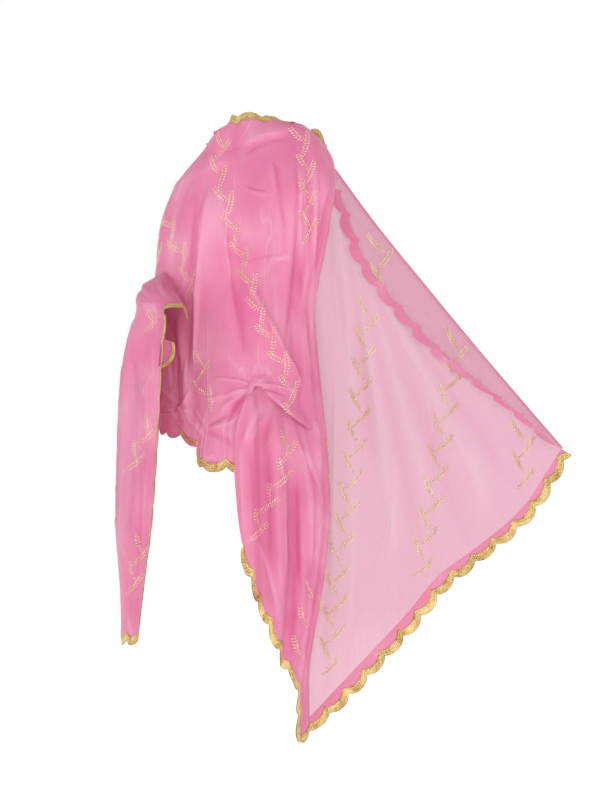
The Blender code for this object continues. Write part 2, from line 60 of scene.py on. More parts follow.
NECKLINE = (
    ("bearing", "radius", "height", "slope_radius", "slope_height"),
    (-150, 0.155, -0.190, 0.168, -0.215),
    (-125, 0.125, -0.095, 0.150, -0.135),
    (-90, 0.085, -0.047, 0.138, -0.093),
    (-60, 0.075, -0.046, 0.122, -0.101),
    (-30, 0.074, -0.036, 0.099, -0.090),
    (0, 0.075, -0.016, 0.092, -0.070),
    (30, 0.075, -0.006, 0.095, -0.062),
    (60, 0.090, -0.004, 0.122, -0.048),
    (75, 0.115, -0.007, 0.150, -0.036),
    (90, 0.150, -0.012, 0.188, -0.045),
    (105, 0.177, -0.044, 0.202, -0.080),
    (120, 0.182, -0.074, 0.197, -0.106),
)
BODY = (
    ("height", "right", "left", "front", "back"),
    (-0.140, 0.170, 0.220, 0.106, 0.140),
    (-0.200, 0.196, 0.205, 0.123, 0.140),
    (-0.255, 0.207, 0.193, 0.130, 0.140),
    (-0.310, 0.213, 0.178, 0.130, 0.140),
    (-0.364, 0.226, 0.164, 0.128, 0.140),
    (-0.420, 0.214, 0.157, 0.127, 0.140),
    (-0.560, 0.211, 0.172, 0.130, 0.140),
    (-0.700, 0.209, 0.192, 0.140, 0.140),
    (-0.840, 0.198, 0.199, 0.142, 0.140),
    (-0.970, 0.198, 0.184, 0.142, 0.140),
    (-1.035, 0.198, 0.172, 0.142, 0.140),
    (-1.208, 0.198, 0.145, 0.142, 0.140),
    (-1.340, 0.198, 0.148, 0.142, 0.140),
)
CAPE_FOLDS = (  # ridges are +, troughs -; each runs from its upper to its lower end
    ("top_bearing", "top_height", "low_bearing", "low_height", "half_width", "depth"),
    (-5, -0.150, -19, -0.520, 4.0, 0.0070),
    (-14, -0.160, -27, -0.560, 4.5, -0.0070),
    (30, -0.160, 31, -0.500, 5.0, -0.0060),
    (42, -0.200, 45, -0.440, 5.0, 0.0050),
    (60, -0.180, 63, -0.400, 5.0, -0.0070),
    (36, -0.330, 82, -0.570, 5.0, 0.0110),
    (70, -0.130, 71, -0.430, 4.5, 0.0060),
    (80, -0.080, 81, -0.640, 4.5, -0.0080),
    (88, -0.090, 93, -1.250, 4.0, 0.0080),
    (98, -0.100, 101, -1.250, 4.0, -0.0090),
    (108, -0.120, 109, -1.250, 4.5, 0.0070),
    (-44, -0.110, -42, -0.330, 6.0, -0.0060),
    (-62, -0.130, -64, -0.340, 5.0, 0.0060),
    (-36, -0.420, -20, -0.640, 5.0, 0.0080),
    (-50, -0.420, -34, -0.660, 5.0, -0.0080),
    (-64, -0.420, -54, -0.650, 5.0, 0.0070),
    (-78, -0.400, -72, -0.620, 5.0, -0.0060),
)
FRONT_HEM = (
    ("bearing", "height"),
    (-96, -0.400),
    (-84, -0.500),
    (-72, -0.612),
    (-58, -0.654),
    (-42, -0.662),
    (-30, -0.664),
    (-17, -0.677),
    (-8, -0.690),
    (-5, -0.722),
    (3, -0.730),
    (12, -0.728),
    (31, -0.730),
    (34, -0.726),
    (37, -0.690),
    (40, -0.636),
    (43, -0.590),
    (46, -0.570),
    (50, -0.572),
    (56, -0.592),
    (66, -0.620),
    (75, -0.645),
    (87, -0.664),
    (120, -0.680),
)
DRAPE_RIGHT = -96
DRAPE_LEFT = 119
KNOT = 44  # bearing of the knot at the left hip
DRAPE_CELLS = (260, 240)  # round the wearer, and from the neck to the hem
LEVEL = -0.545
LEVEL_SHARE = 0.76  # share of the rows above that level
DRAPE_CREASES = (  # in millimetres, as all creases are
    ("across", "height", "low_across", "low_height", "bow", "left", "right", "depth"),
    (-76, -150, -105, -375, -3, 1.6, 26, 6.2),
    (-104, -350, -108, -530, 0, 1.6, 22, 5.6),
    (-100, -147, -121, -368, 3, 7, 9, -4),
    (-141, -104, -158, -303, 3, 9, 9, 3),
    (-41, -200, -21, -365, 2, 1.8, 16, -3.4),
    (-22, -350, -1, -500, 1, 1.8, 16, -4),
    (100, -22, -8, -56, -12, 3, 6, 2.6),
    (95, -34, 0, -72, -10, 4, 4, -2.6),
    (6, -134, 52, -145, -4, 1.8, 1.8, -3),
    (8, -140, 55, -153, -4, 3, 3, 2.6),
    (60, -85, 71, -158, 2, 5, 1.6, 2.6),
    (66, -82, 78, -158, 2, 1.6, 8, -4),
    (77, -150, 88, -225, -1, 1.6, 7, -3.4),
    (87, -200, 89, -303, 0, 6, 6, -3),
    (115, -70, 117, -214, 2, 6, 1.8, -3.6),
    (117, -200, 87, -491, 9, 6, 1.8, -3.6),
    (122, -90, 124, -300, 2, 2, 6, 2.8),
    (135, -77, 143, -310, 3, 1.8, 6, -4),
    (151, -80, 150, -350, 6, 4, 1.8, 3.4),
    (160, -64, 149, -395, 10, 1.8, 5, -4.4),
    (115, -160, 134, -145, 0, 2.5, 3, 1.8),
    (9, -301, 87, -286, 4, 1.8, 3, -2.6),
    (50, -320, 102, -281, 5, 3, 5, 2.2),
    (24, -345, 63, -318, 4, 1.8, 4, 2.8),
    (63, -320, 72, -430, 0, 1.8, 6, 3),
    (13, -359, 93, -502, 3, 1.8, 12, 4.6),
    (90, -495, 127, -570, 3, 1.8, 9, 4),
    (98, -498, 131, -570, 6, 3, 1.8, -4),
    (130, -560, 124, -620, -4, 3, 1.8, -3.4),
    (41, -385, 71, -483, 0, 6, 6, -2.6),
    (119, -303, 126, -483, 2, 6, 6, -3.4),
    (141, -385, 147, -541, 0, 3, 5, 3.4),
    (24, -566, 112, -580, 4, 2, 4, 4.8),
    (40, -575, 95, -592, 2, 2, 3, -3.4),
    (24, -567, 71, -528, -2, 4, 5, 3),
    (22, -566, -60, -553, -3, 1.8, 4, 4.4),
    (19, -572, -30, -583, 1, 1.8, 4, 3.6),
    (19, -569, -82, -598, 4, 4, 6, 3.4),
    (16, -580, -50, -625, -4, 5, 7, 5),
    (10, -586, -28, -632, -3, 1.8, 6, -4.4),
    (-25, -630, -80, -658, -3, 1.8, 6, -4.4),
    (0, -596, -37, -654, -6, 5, 8, -3.6),
    (0, -541, -37, -498, 0, 5, 7, 2.2),
    (-105, -622, -76, -664, 0, 1.8, 3, 3.6),
    (-80, -660, -2, -634, -6, 3, 6, 4.2),
    (-180, -606, -80, -684, 9, 4, 6, 4.4),
    (-184, -567, -123, -628, -3, 2, 4, 3.4),
    (-115, -576, -145, -637, 0, 2, 3, 3.2),
    (-166, -610, -137, -655, 0, 1.8, 2.5, 3),
    (-184, -628, -128, -624, -4, 1.8, 3, 3),
    (-167, -621, -115, -624, 2, 2.2, 3, 2.6),
    (-136, -606, -126, -654, 0, 2.2, 3, 2.4),
    (-154, -585, -136, -606, 0, 3, 3, -2.2),
    (-160, -498, -154, -572, 2, 4, 4, -5),
    (-141, -498, -145, -576, -2, 4, 4, -4.6),
    (-123, -507, -128, -563, 0, 3, 3, 3),
    (-87, -667, -15, -701, 4, 5, 7, -3.4),
    (-6, -43, 123, -13, 6, 8, 10, 3),
    (-93, -65, 41, -39, -5, 9, 10, -2.4),
    (-123, -121, -15, -78, 4, 8, 9, 2.2),
)
SIDE_CREASES = (  # on the wearer's right and behind, with bearings in degrees
    ("bearing", "height", "low_bearing", "low_height", "bow", "left", "right", "depth"),
    (-84, -110, -82, -330, 3, 4, 8, 3.2),
    (-92, -120, -90, -380, -2, 5, 7, -3),
    (-74, -150, -70, -370, 4, 5, 9, 3),
    (-60, -130, -66, -300, -4, 7, 7, -2.6),
    (-104, -140, -100, -370, 2, 3, 7, 3.4),
    (-113, -150, -110, -360, 3, 6, 6, -3),
    (-122, -140, -119, -350, -2, 4, 7, 3),
    (-133, -170, -130, -340, 3, 5, 6, -2.6),
    (-80, -430, -74, -580, 3, 4, 7, 3.6),
    (-66, -460, -58, -640, -3, 4, 8, -3.4),
    (84, -80, 86, -560, 2, 4, 7, 3),
    (94, -90, 96, -650, 2, 5, 6, -3.4),
    (104, -90, 104, -640, -2, 3, 6, 3),
    (113, -110, 114, -620, 1, 4, 5, -2.6),
)
DRAPE_COVER = 0.88  # at the right shoulder, where its layers lie loose
ROLL = 0.007  # left of the knot the drape's own edge rolls out over the fall, this far
ROLL_HEIGHT = 0.050
ROLL_ENDS = (KNOT - 3, 80)
ROLL_FADE = 8  # degrees over which it starts and ends
PAINTED_LIGHT_FROM = (-10, -0.46)  # right of this bearing and below this height the drape's colour is painted paler, painted light on cloth that lies in shade
PAINTED_LIGHT_TONE = 0.012  # painted light, as much lighter as a ridge this high
PAINTED_LIGHT_SHARE = 0.75
FOLD_FADE = (0.15, 0.40)  # how far past its end a fold dies out, and over how much of its length
CREASE_FADE = (0.10, 0.35)
MM = 0.001
CREASE_EDGE = 1.4  # between a sharp pleat at 1 and a round one at 2
SPLINE_STEPS = 12  # from one given point to the next
DEGREE = 3.0  # millimetres round the body for each degree of bearing, for widths of creases


def turned(across, away, height):
    """Points across the free side, away from the side that it faces, and up."""
    across, away, height = np.broadcast_arrays(across, away, height)
    x = across * math.cos(TURN) - away * math.sin(TURN)
    y = across * math.sin(TURN) + away * math.cos(TURN)
    return np.stack((x, y, height), axis=-1)


def polar(bearing, radius, height):
    angle, radius, height = np.broadcast_arrays(np.radians(bearing), radius, height)
    return np.stack((radius * np.sin(angle), -radius * np.cos(angle), height), axis=-1)


def column(table, name):
    return np.array([row[table[0].index(name)] for row in table[1:]], float)


def smooth(x, xs, ys):
    """A smooth curve through a table's points, with no overshoot between them."""
    order = np.argsort(xs)
    xs, ys = xs[order], ys[order]
    step = np.diff(xs)
    slope = np.diff(ys) / step
    tangent = np.concatenate((slope[:1], np.zeros(len(xs) - 2), slope[-1:]))
    before, after = 2 * step[1:] + step[:-1], step[1:] + 2 * step[:-1]
    for k in np.nonzero(slope[:-1] * slope[1:] > 0)[0]:
        tangent[k + 1] = (before[k] + after[k]) / (before[k] / slope[k] + after[k] / slope[k + 1])
    x = np.clip(x, xs[0], xs[-1])
    k = np.clip(np.searchsorted(xs, x, side="right") - 1, 0, len(xs) - 2)
    t = (x - xs[k]) / step[k]
    rise = (2 * t**3 - 3 * t**2 + 1) * ys[k] + (3 * t**2 - 2 * t**3) * ys[k + 1]
    lean = (t**3 - 2 * t**2 + t) * tangent[k] + (t**3 - t**2) * tangent[k + 1]
    return rise + step[k] * lean


def follow(table, x, key, *names):
    """The named columns of a table, read at x of its key column."""
    return [smooth(x, column(table, key), column(table, name)) for name in names]


def mix(a, b, t):
    return a + (b - a) * t


def ease(t):
    t = np.clip(t, 0, 1)
    return t * t * (3 - 2 * t)


def fade_ends(t, lead, over):
    """Full along a fold, and dying out at both of its ends."""
    return ease((t + lead) / over) * ease((1 + lead - t) / over)


def swell(distance, half_width):
    return np.exp(-((distance / half_width) ** 2))


def run_along(points):
    """The distance along a line at each of its points."""
    return np.concatenate(([0], np.cumsum(np.linalg.norm(np.diff(points, axis=0), axis=1))))


def at_distance(distance, run, values):
    """What goes with the points of a line, read at other distances along it."""
    return np.stack([np.interp(distance, run, part) for part in values.T], axis=1)


def spline(points, count):
    """Evenly spaced points on a Catmull-Rom curve through a few points."""
    points = np.asarray(points, float)
    ends = np.vstack((2 * points[0] - points[1], points, 2 * points[-1] - points[-2]))
    t = np.linspace(0, 1, SPLINE_STEPS, endpoint=False)[:, None]
    fine = []
    for a, b, c, d in zip(ends, ends[1:], ends[2:], ends[3:]):
        fine.append(0.5 * (2 * b + (c - a) * t + (2 * a - 5 * b + 4 * c - d) * t**2
                           + (3 * b - a - 3 * c + d) * t**3))
    fine = np.vstack(fine + [points[-1:]])
    run = run_along(fine)
    return at_distance(np.linspace(0, run[-1], count), run, fine)


def unit(vectors):
    return vectors / np.maximum(np.linalg.norm(vectors, axis=-1, keepdims=True), 1e-12)


def grid_normals(grid):
    """Unit normals of a grid of points, out from its right side."""
    return unit(np.cross(np.gradient(grid, axis=1), np.gradient(grid, axis=0)))


def body_radius(bearing, height):
    right, left, front, back = follow(BODY, height, "height", "right", "left", "front", "back")
    angle = np.radians(bearing)
    side = np.where(np.asarray(bearing) > 0, left, right)
    depth = np.where(np.abs(bearing) < 90, front, back)
    return 1 / np.hypot(np.sin(angle) / side, np.cos(angle) / depth)


def cape_fold(bearing, height):
    """How far the large folds push the cloth out or in at a place."""
    total = np.zeros(np.broadcast(bearing, height).shape)
    for top_bearing, top_height, low_bearing, low_height, half_width, depth in CAPE_FOLDS[1:]:
        t = (top_height - height) / (top_height - low_height)
        middle = mix(top_bearing, low_bearing, np.clip(t, 0, 1))
        total = total + depth * fade_ends(t, *FOLD_FADE) * swell(bearing - middle, half_width)
    return total


def cape_column(bearing, low, count):
    """Points down one column of cloth, from the neckline over the shoulder to its lower edge."""
    radius, height, slope_radius, slope_height = (float(v) for v in follow(
        NECKLINE, bearing, "bearing", "radius", "height", "slope_radius", "slope_height"))
    levels = [z for z in column(BODY, "height") if low + 0.02 < z < slope_height - 0.03]
    path = [(radius, height), (slope_radius, slope_height)]
    path += [(float(body_radius(bearing, z)), z) for z in levels + [low]]
    path = spline(path, count)
    return polar(bearing, path[:, 0] + cape_fold(bearing, path[:, 1]), path[:, 1])


def front_hem(bearing):
    return follow(FRONT_HEM, bearing, "bearing", "height")[0]


def seen(points):
    """Where points show on the upright plane through the shoulders, looked at from the eye."""
    across = points @ turned(1.0, 0.0, 0.0)
    away = points @ turned(0.0, 1.0, 0.0)
    scale = -EYE_AWAY / (away - EYE_AWAY)
    return mix(EYE_ACROSS, across, scale), mix(EYE_HEIGHT, points[..., 2], scale)


def bearing_and_height(points):
    """Metres round the wearer, and height."""
    return np.degrees(np.arctan2(points[..., 0], -points[..., 1])) * DEGREE * MM, points[..., 2]


def creases(table, across, along, unit=1.0):
    """How far soft ridges and troughs push the cloth. Each runs in a bowed line from its upper to its
    lower end and may be steeper on its left side or its right one. The unit is that of the places
    across, in millimetres."""
    push = np.zeros(across.shape)
    for row in table[1:]:
        x0, y0, x1, y1, bow, left, right, depth = np.array(row) * MM
        length = math.hypot((x1 - x0) * unit, y1 - y0)
        way_x, way_y = (x1 - x0) * unit / length, (y1 - y0) / length
        from_x, from_y = across - x0 * unit, along - y0
        t = (from_x * way_x + from_y * way_y) / length
        side = from_y * way_x - from_x * way_y - bow * 4 * t * (1 - t)
        width = np.where(side > 0, right, left)
        push += depth * fade_ends(t, *CREASE_FADE) * np.exp(-np.abs(side / width) ** CREASE_EDGE)
    return push


def pressed(grid, push):
    return grid + grid_normals(grid) * push[..., None]


def linear(text):
    """A sRGB hex colour as linear values."""
    values = [int(text[k : k + 2], 16) / 255 for k in (1, 3, 5)]
    return tuple(v / 12.92 if v <= 0.04045 else ((v + 0.055) / 1.055) ** 2.4 for v in values)


def fill(tree, made, **sockets):
    """Fills a node's sockets, named with _ for a space or numbered after n. Each takes a value, another
    node's socket, or another node, which stands for its first socket."""
    for name, value in sockets.items():
        key = name.replace("_", " ")
        socket = made.inputs[int(key[1:])] if key[0] == "n" and key[1:].isdigit() else made.inputs[key]
        if isinstance(value, bpy.types.Node):
            value = value.outputs[0]
        if isinstance(value, bpy.types.NodeSocket):
            tree.links.new(value, socket)
        else:
            socket.default_value = value


def node(tree, kind, settings=None, **sockets):
    """Adds a node to the right of the others. Its kind is short where it is of the tree's own sort. A
    colour ramp's settings hold its stops, as hex colours."""
    own = "" if kind.startswith(("Function", "Node", "Shader")) else tree.bl_idname.removesuffix("Tree")
    made = tree.nodes.new(own + kind)
    made.location.x = 200 * len(tree.nodes)
    for name, value in (settings or {}).items():
        if name != "stops":
            setattr(made, name, value)
            continue
        elements = made.color_ramp.elements
        for k, (position, text) in enumerate(value):
            stop = elements[k] if k < len(elements) else elements.new(position)
            stop.position = position
            stop.color = (*linear(text), 1)
    fill(tree, made, **sockets)
    return made


def new_material(name):
    made = bpy.data.materials.new(name)
    made.use_nodes = True
    tree = made.node_tree
    tree.nodes.clear()
    shader = node(tree, "BsdfPrincipled")
    node(tree, "OutputMaterial", Surface=shader)
    return made, tree, shader


FLAT_NOISE = {"noise_dimensions": "2D"}
TIMES_PLUS = {"operation": "MULTIPLY_ADD"}
THREAD = 0.0011  # real threads lie 0.25 mm apart, drawn coarser so that the weave shows at all
SLUB = 0.004  # how far apart thicker threads lie
WRINKLES = (9.0, 4.0)  # fine wrinkles in a metre, round the wearer and down
WRINKLE_WIDTH = 0.05
# fine wrinkles are painted lighter along their lines, a painted sheen
WRINKLE_PAINTED_SHEEN = 0.26
WRINKLED = (0.44, 0.62)  # they show in patches, from and to this much of a cloudy noise
STREAKS = 0.16  # share of the slubs in the tone
SLUB_COVER = 0.08  # how much more a slub covers
SLUB_RISE = 1.2  # how high a slub stands, beside a thread
PAINTED_CREASE_SHADE = 55.0  # troughs are painted deeper and ridges paler, painted shade and painted highlight of the creases


def organza_weave(name, deep, middle, pale):
    """Sheer plain weave of hard filament: crisp, with a soft silky sheen, and clear between the threads.
    The attribute "cover" says how much of what lies behind is hidden, more where layers lie together. The
    crease push that it carries is painted as shade in troughs and as highlight on ridges, together with any
    painted light added to it, and fine wrinkles get a painted sheen along their lines."""
    made, tree, shader = new_material(name)
    cloth = node(tree, "UVMap", {"uv_map": "cloth"})
    slub = node(tree, "Mapping", Vector=cloth, Scale=(1 / SLUB, 9.0, 1.0))
    streak = node(tree, "TexNoise", FLAT_NOISE, Vector=slub, Scale=1.0, Detail=3.0, Roughness=0.6)
    cloud = node(tree, "TexNoise", FLAT_NOISE, Vector=cloth, Scale=7.0, Detail=2.0, Roughness=0.5)
    tone = node(tree, "Mix", {"data_type": "FLOAT"}, n0=STREAKS, n2=cloud, n3=streak)
    press = node(tree, "Attribute", {"attribute_name": "press"}).outputs["Fac"]
    shade = node(tree, "Math", TIMES_PLUS, n0=press, n1=PAINTED_CREASE_SHADE, n2=tone)
    drawn = node(tree, "Mapping", Vector=cloth, Scale=(*WRINKLES, 1.0))
    stir = node(tree, "TexNoise", FLAT_NOISE, Vector=drawn, Scale=1.2, Detail=2.0)
    bent = node(tree, "VectorMath", {"operation": "ADD"}, n0=drawn, n1=stir.outputs["Color"])
    cells = node(tree, "TexVoronoi", {"voronoi_dimensions": "2D", "feature": "DISTANCE_TO_EDGE"},
                 Vector=bent, Scale=1.0)
    line = node(tree, "MapRange", {"interpolation_type": "SMOOTHSTEP"}, Value=cells, From_Max=WRINKLE_WIDTH,
                To_Min=1.0, To_Max=0.0)
    fade = node(tree, "MapRange", Value=cloud, From_Min=WRINKLED[0], From_Max=WRINKLED[1])
    wrinkle = node(tree, "Math", {"operation": "MULTIPLY"}, n0=line, n1=fade)
    lit = node(tree, "Math", TIMES_PLUS, n0=wrinkle, n1=WRINKLE_PAINTED_SHEEN, n2=shade)
    colour = node(tree, "ValToRGB", {"stops": ((0.15, deep), (0.50, middle), (0.85, pale))}, Fac=lit)
    cover = node(tree, "Attribute", {"attribute_name": "cover"}).outputs["Fac"]
    many = node(tree, "MapRange", Value=cover, From_Min=SHEER, From_Max=DENSE)
    layers = node(tree, "Mix", {"data_type": "RGBA"}, n0=many, n6=(*linear(ORGANZA_THIN), 1), n7=colour)
    warp, weft = (node(tree, "TexWave", {"bands_direction": way}, Vector=cloth, Scale=math.tau / 20 / THREAD,
                       Distortion=0.6, Detail=1.0).outputs["Fac"] for way in "XY")
    weave = node(tree, "Math", {"operation": "ADD"}, n0=warp, n1=weft)
    crimp = node(tree, "Math", TIMES_PLUS, n0=streak, n1=SLUB_RISE, n2=weave)
    soft = node(tree, "Bump", Strength=0.5, Distance=0.002, Height=wrinkle)
    bump = node(tree, "Bump", Strength=0.25, Distance=0.0004, Height=crimp, Normal=soft)
    dense = node(tree, "Math", {**TIMES_PLUS, "use_clamp": True}, n0=streak, n1=SLUB_COVER, n2=cover)
    fill(tree, shader, Base_Color=layers.outputs[2], Normal=bump, Alpha=dense, Roughness=0.45,
         Specular_IOR_Level=0.25, Sheen_Weight=0.12, Sheen_Roughness=0.4, Sheen_Tint=(*linear("#FBD3E0"), 1))
    return made


organza = organza_weave("pink organza", ORGANZA_DEEP, ORGANZA, ORGANZA_PALE)


def put(name, data):
    """A new object in the scene."""
    made = bpy.data.objects.new(name, data)
    bpy.context.scene.collection.objects.link(made)
    return made


def new_mesh(name, points, faces, edges=()):
    mesh = bpy.data.meshes.new(name)
    mesh.from_pydata([tuple(point) for point in points], edges, faces)
    return mesh


def laid_out(name, points, faces, places, finish):
    """A smooth mesh, with the place of each of its points on the flat cloth, in metres, as a UV map."""
    mesh = new_mesh(name, points.tolist(), faces.tolist() if isinstance(faces, np.ndarray) else faces)
    corners = np.empty(len(mesh.loops), int)
    mesh.loops.foreach_get("vertex_index", corners)
    layer = mesh.uv_layers.new(name="cloth")
    layer.data.foreach_set("uv", places[corners].reshape(-1).astype(np.float32))
    mesh.polygons.foreach_set("use_smooth", np.ones(len(mesh.polygons), bool))
    mesh.materials.append(finish)
    mesh.update()
    return put(name, mesh)


def cloth_piece(name, grid, cover, press=0.0, finish=organza):
    """A sheet one thread thick through a grid of points, with its right side outwards. It carries how
    much it covers and how far it is pressed, with painted light added to that in places; its finish paints
    the press as shade in troughs and highlight on ridges."""
    rows, cols = grid.shape[:2]
    index = np.arange(rows * cols).reshape(rows, cols)
    faces = np.stack((index[:-1, :-1], index[:-1, 1:], index[1:, 1:], index[1:, :-1]), axis=-1)
    steps = [np.linalg.norm(np.diff(grid, axis=axis), axis=2).mean() for axis in (0, 1)]
    places = np.stack(np.divmod(np.arange(rows * cols), cols), axis=-1) * steps
    made = laid_out(name, grid.reshape(-1, 3), faces.reshape(-1, 4), places, finish)
    for title, values in (("cover", cover), ("press", press)):
        values = np.broadcast_to(values, (rows, cols)).reshape(-1).astype(np.float32)
        made.data.attributes.new(title, "FLOAT", "POINT").data.foreach_set("value", values)
    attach(made, "root")
    return made


def stretch(solid, grid, cover, press=0.0, finish=organza):
    """One stretch of the cloth, in place of its solid."""
    made = cloth_piece(f"{solid}_cloth", grid, cover, press, finish)
    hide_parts(solid)
    return made


def hem_roll(bearing, height):
    """How far out the drape's own edge rolls."""
    near = ease((front_hem(bearing) + ROLL_HEIGHT - height) / ROLL_HEIGHT)
    start, end = (ease((bearing - at) / ROLL_FADE) for at in ROLL_ENDS)
    return ROLL * near * start * (1 - end)


def level_rows(points, low):
    """The same column, with its upper rows level with those beside it however far down it reaches."""
    run = run_along(points)
    level = float(np.interp(-max(LEVEL, low + 0.02), -points[:, 2], run))
    upper = round(LEVEL_SHARE * DRAPE_CELLS[1])
    rows = np.concatenate((np.linspace(0, level, upper, endpoint=False),
                           np.linspace(level, run[-1], DRAPE_CELLS[1] + 1 - upper)))
    return at_distance(rows, run, points)


drape_bearings = np.linspace(DRAPE_RIGHT, DRAPE_LEFT, DRAPE_CELLS[0] + 1)
drape_lows = [float(front_hem(b)) for b in drape_bearings]
drape_smooth = np.array([level_rows(cape_column(b, low, 3 * DRAPE_CELLS[1]), low)
                         for b, low in zip(drape_bearings, drape_lows)])
roll = hem_roll(drape_bearings[:, None], drape_smooth[..., 2])
drape_smooth += unit(drape_smooth * (1, 1, 0)) * roll[..., None]
drape_press = creases(DRAPE_CREASES, *seen(drape_smooth))
drape_press += creases(SIDE_CREASES, *bearing_and_height(drape_smooth), unit=DEGREE)
drape = pressed(drape_smooth, drape_press)
# Painted light: the drape's lower right lies in shade, so its colour is painted paler there.
painted_light_bearing, painted_light_height = PAINTED_LIGHT_FROM
drape_painted_light = PAINTED_LIGHT_SHARE * ease((painted_light_bearing - drape_bearings[:, None]) / 12)
drape_painted_light = drape_painted_light * ease((painted_light_height - drape_smooth[..., 2]) / 0.12)
drape_cover = mix(DRAPE_COVER, DENSE, ease((drape_bearings + 78) / 34))[:, None]
front_drape = stretch("front_drape", drape, drape_cover, mix(drape_press, PAINTED_LIGHT_TONE, drape_painted_light))


# Right back. The same organza behind the right shoulder, in one layer. It lies on the shoulder and ends
# in the cloth's own free edge, with nothing to fix it there.

BACK_LOW = (
    ("bearing", "height"),
    (-150, -0.330),
    (-125, -0.370),
    (-96, -0.400),
)
BACK_CELLS = (44, 68)
BACK_COVER = 0.58

back_bearings = np.linspace(-150, DRAPE_RIGHT, BACK_CELLS[0] + 1)
back_lows = follow(BACK_LOW, back_bearings, "bearing", "height")[0]
back_smooth = np.array([cape_column(b, float(low), BACK_CELLS[1] + 1)
                        for b, low in zip(back_bearings, back_lows)])
back_press = creases(SIDE_CREASES, *bearing_and_height(back_smooth), unit=DEGREE)
back = pressed(back_smooth, back_press)
right_back = stretch("right_back", back, BACK_COVER, back_press)


# Left fall. Below the knot the same organza comes out from under the drape's edge and falls over the left
# hip in soft pleats, down to the corner that it shares with the wing. Only the knot holds it.

LEFT_EDGE = (
    ("height", "across"),
    (-0.578, 0.026),
    (-0.610, 0.004),
    (-0.680, -0.013),
    (-0.745, -0.014),
    (-0.820, -0.009),
    (-0.895, 0.001),
    (-0.927, 0.012),
    (-0.968, 0.028),
    (-1.009, 0.040),
    (-1.041, 0.058),
    (-1.100, 0.079),
    (-1.156, 0.104),
    (-1.219, 0.127),
    (-1.320, 0.130),
)
FALL_TOP = (  # it reaches up behind the drape's lower edge
    ("bearing", "height"),
    (42, -0.580),
    (46, -0.556),
    (51, -0.548),
    (56, -0.552),
    (66, -0.574),
    (77, -0.606),
    (87, -0.634),
    (120, -0.672),
)
FALL_LOW = -1.318
FALL_RISE = 0.030  # its short end slopes up to the back
KNOT_HEIGHT = -0.572
FALL_PLEATS = (
    ("bearing", "low_bearing", "half_width", "depth"),
    (40, 47, 4.5, 0.0080),
    (49, 56, 4.0, -0.0080),
    (59, 66, 4.5, 0.0090),
    (69, 75, 4.0, -0.0090),
    (78, 83, 4.0, 0.0070),
)
FALL_BEHIND = (0.0065, 0.0008)  # how far behind the drape it lies, in front and at the side
FALL_AHEAD = 0.0085  # how far its edge stands out below the knot
EDGE_OUT = 0.007
FALL_COVER = 0.95
FALL_CELLS = (84, 176)
FALL_GOLD_FROM = -0.905  # above this the gold edge is turned under
FALL_CREASES = (
    ("across", "height", "low_across", "low_height", "bow", "left", "right", "depth"),
    (41, -567, 104, -624, -4, 2.4, 7, 4),
    (37, -605, 2, -700, -2, 8, 10, 7),
    (50, -632, 15, -688, -2, 3, 5, 3.6),
    (-5, -690, 4, -890, -2, 6, 10, 6),
    (32, -900, 78, -1056, 3, 6, 4, 5),
    (90, -770, 93, -980, 0, 2.2, 4, 5),
    (113, -770, 117, -995, 0, 12, 6, -6),
    (145, -770, 146, -960, 2, 6, 6, 5.6),
    (115, -650, 169, -814, -3, 2, 3, -5.6),
    (124, -638, 168, -800, -2, 3, 1.8, 4),
    (158, -640, 166, -760, 2, 6, 8, 3.6),
    (71, -611, 41, -701, -3, 5, 6, -3),
    (93, -628, 95, -736, 0, 3, 6, 3.6),
    (130, -688, 143, -862, 2, 3, 6, 3.4),
    (143, -736, 175, -827, -2, 2.2, 6, 3.8),
    (50, -700, 54, -948, 2, 8, 9, -3.6),
    (18, -710, 24, -905, 2, 5, 5, -3),
    (71, -753, 82, -1035, 2, 6, 9, 3.6),
    (97, -818, 108, -1121, 2, 6, 8, -4),
    (126, -862, 130, -1121, 2, 5, 8, 3.6),
    (63, -1000, 82, -1113, 3, 5, 7, 2.8),
    (97, -1057, 108, -1208, 2, 5, 7, -3),
    (128, -1121, 134, -1303, 0, 4, 6, 3),
    (154, -862, 152, -1121, 0, 4, 6, -3),
)
FALL_SIDE_CREASES = (
    ("bearing", "height", "low_bearing", "low_height", "bow", "left", "right", "depth"),
    (86, -700, 90, -1220, 3, 3, 6, 3.2),
    (96, -680, 97, -1200, -2, 4, 6, -3),
    (104, -720, 104, -1240, 2, 3, 5, 2.8),
    (112, -690, 112, -1180, 1, 4, 4, -2.6),
)


def bearing_at(across, height, out):
    """The bearing where the cape, moved out a little, lies at a place across the free side."""
    bearing = np.full(np.shape(height), 60.0)
    for _ in range(12):
        radius = body_radius(bearing, height) + out
        lean = np.arcsin(np.clip(across / radius, -1, 1))
        bearing = mix(bearing, np.degrees(lean + TURN), 0.7)
    return bearing


def left_fall_points(s, t):
    """s runs from the long edge to the fold behind the arm, t from the top to the bottom."""
    top = follow(FALL_TOP, mix(KNOT - 2, DRAPE_LEFT, s), "bearing", "height")[0]
    height = mix(top, FALL_LOW + FALL_RISE * s, t)
    edge = bearing_at(follow(LEFT_EDGE, height, "height", "across")[0], height, EDGE_OUT)
    bearing = mix(edge, DRAPE_LEFT, s)
    in_front = (1 - ease((bearing - KNOT + 1) / 6)) * ease((KNOT_HEIGHT - height) / 0.025)
    below = ease((front_hem(bearing) - height) / 0.08)
    behind = mix(*FALL_BEHIND, ease((bearing - 78) / 8)) * (1 - below)
    out = mix(-behind, FALL_AHEAD, in_front) + cape_fold(bearing, height)
    depth = 0.0
    for bearing_above, bearing_below, half_width, push in FALL_PLEATS[1:]:
        depth = depth + push * swell(bearing - mix(bearing_above, bearing_below, t), half_width)
    depth = depth * ease((top - height) / 0.10)
    return polar(bearing, body_radius(bearing, height) + out + depth, height)


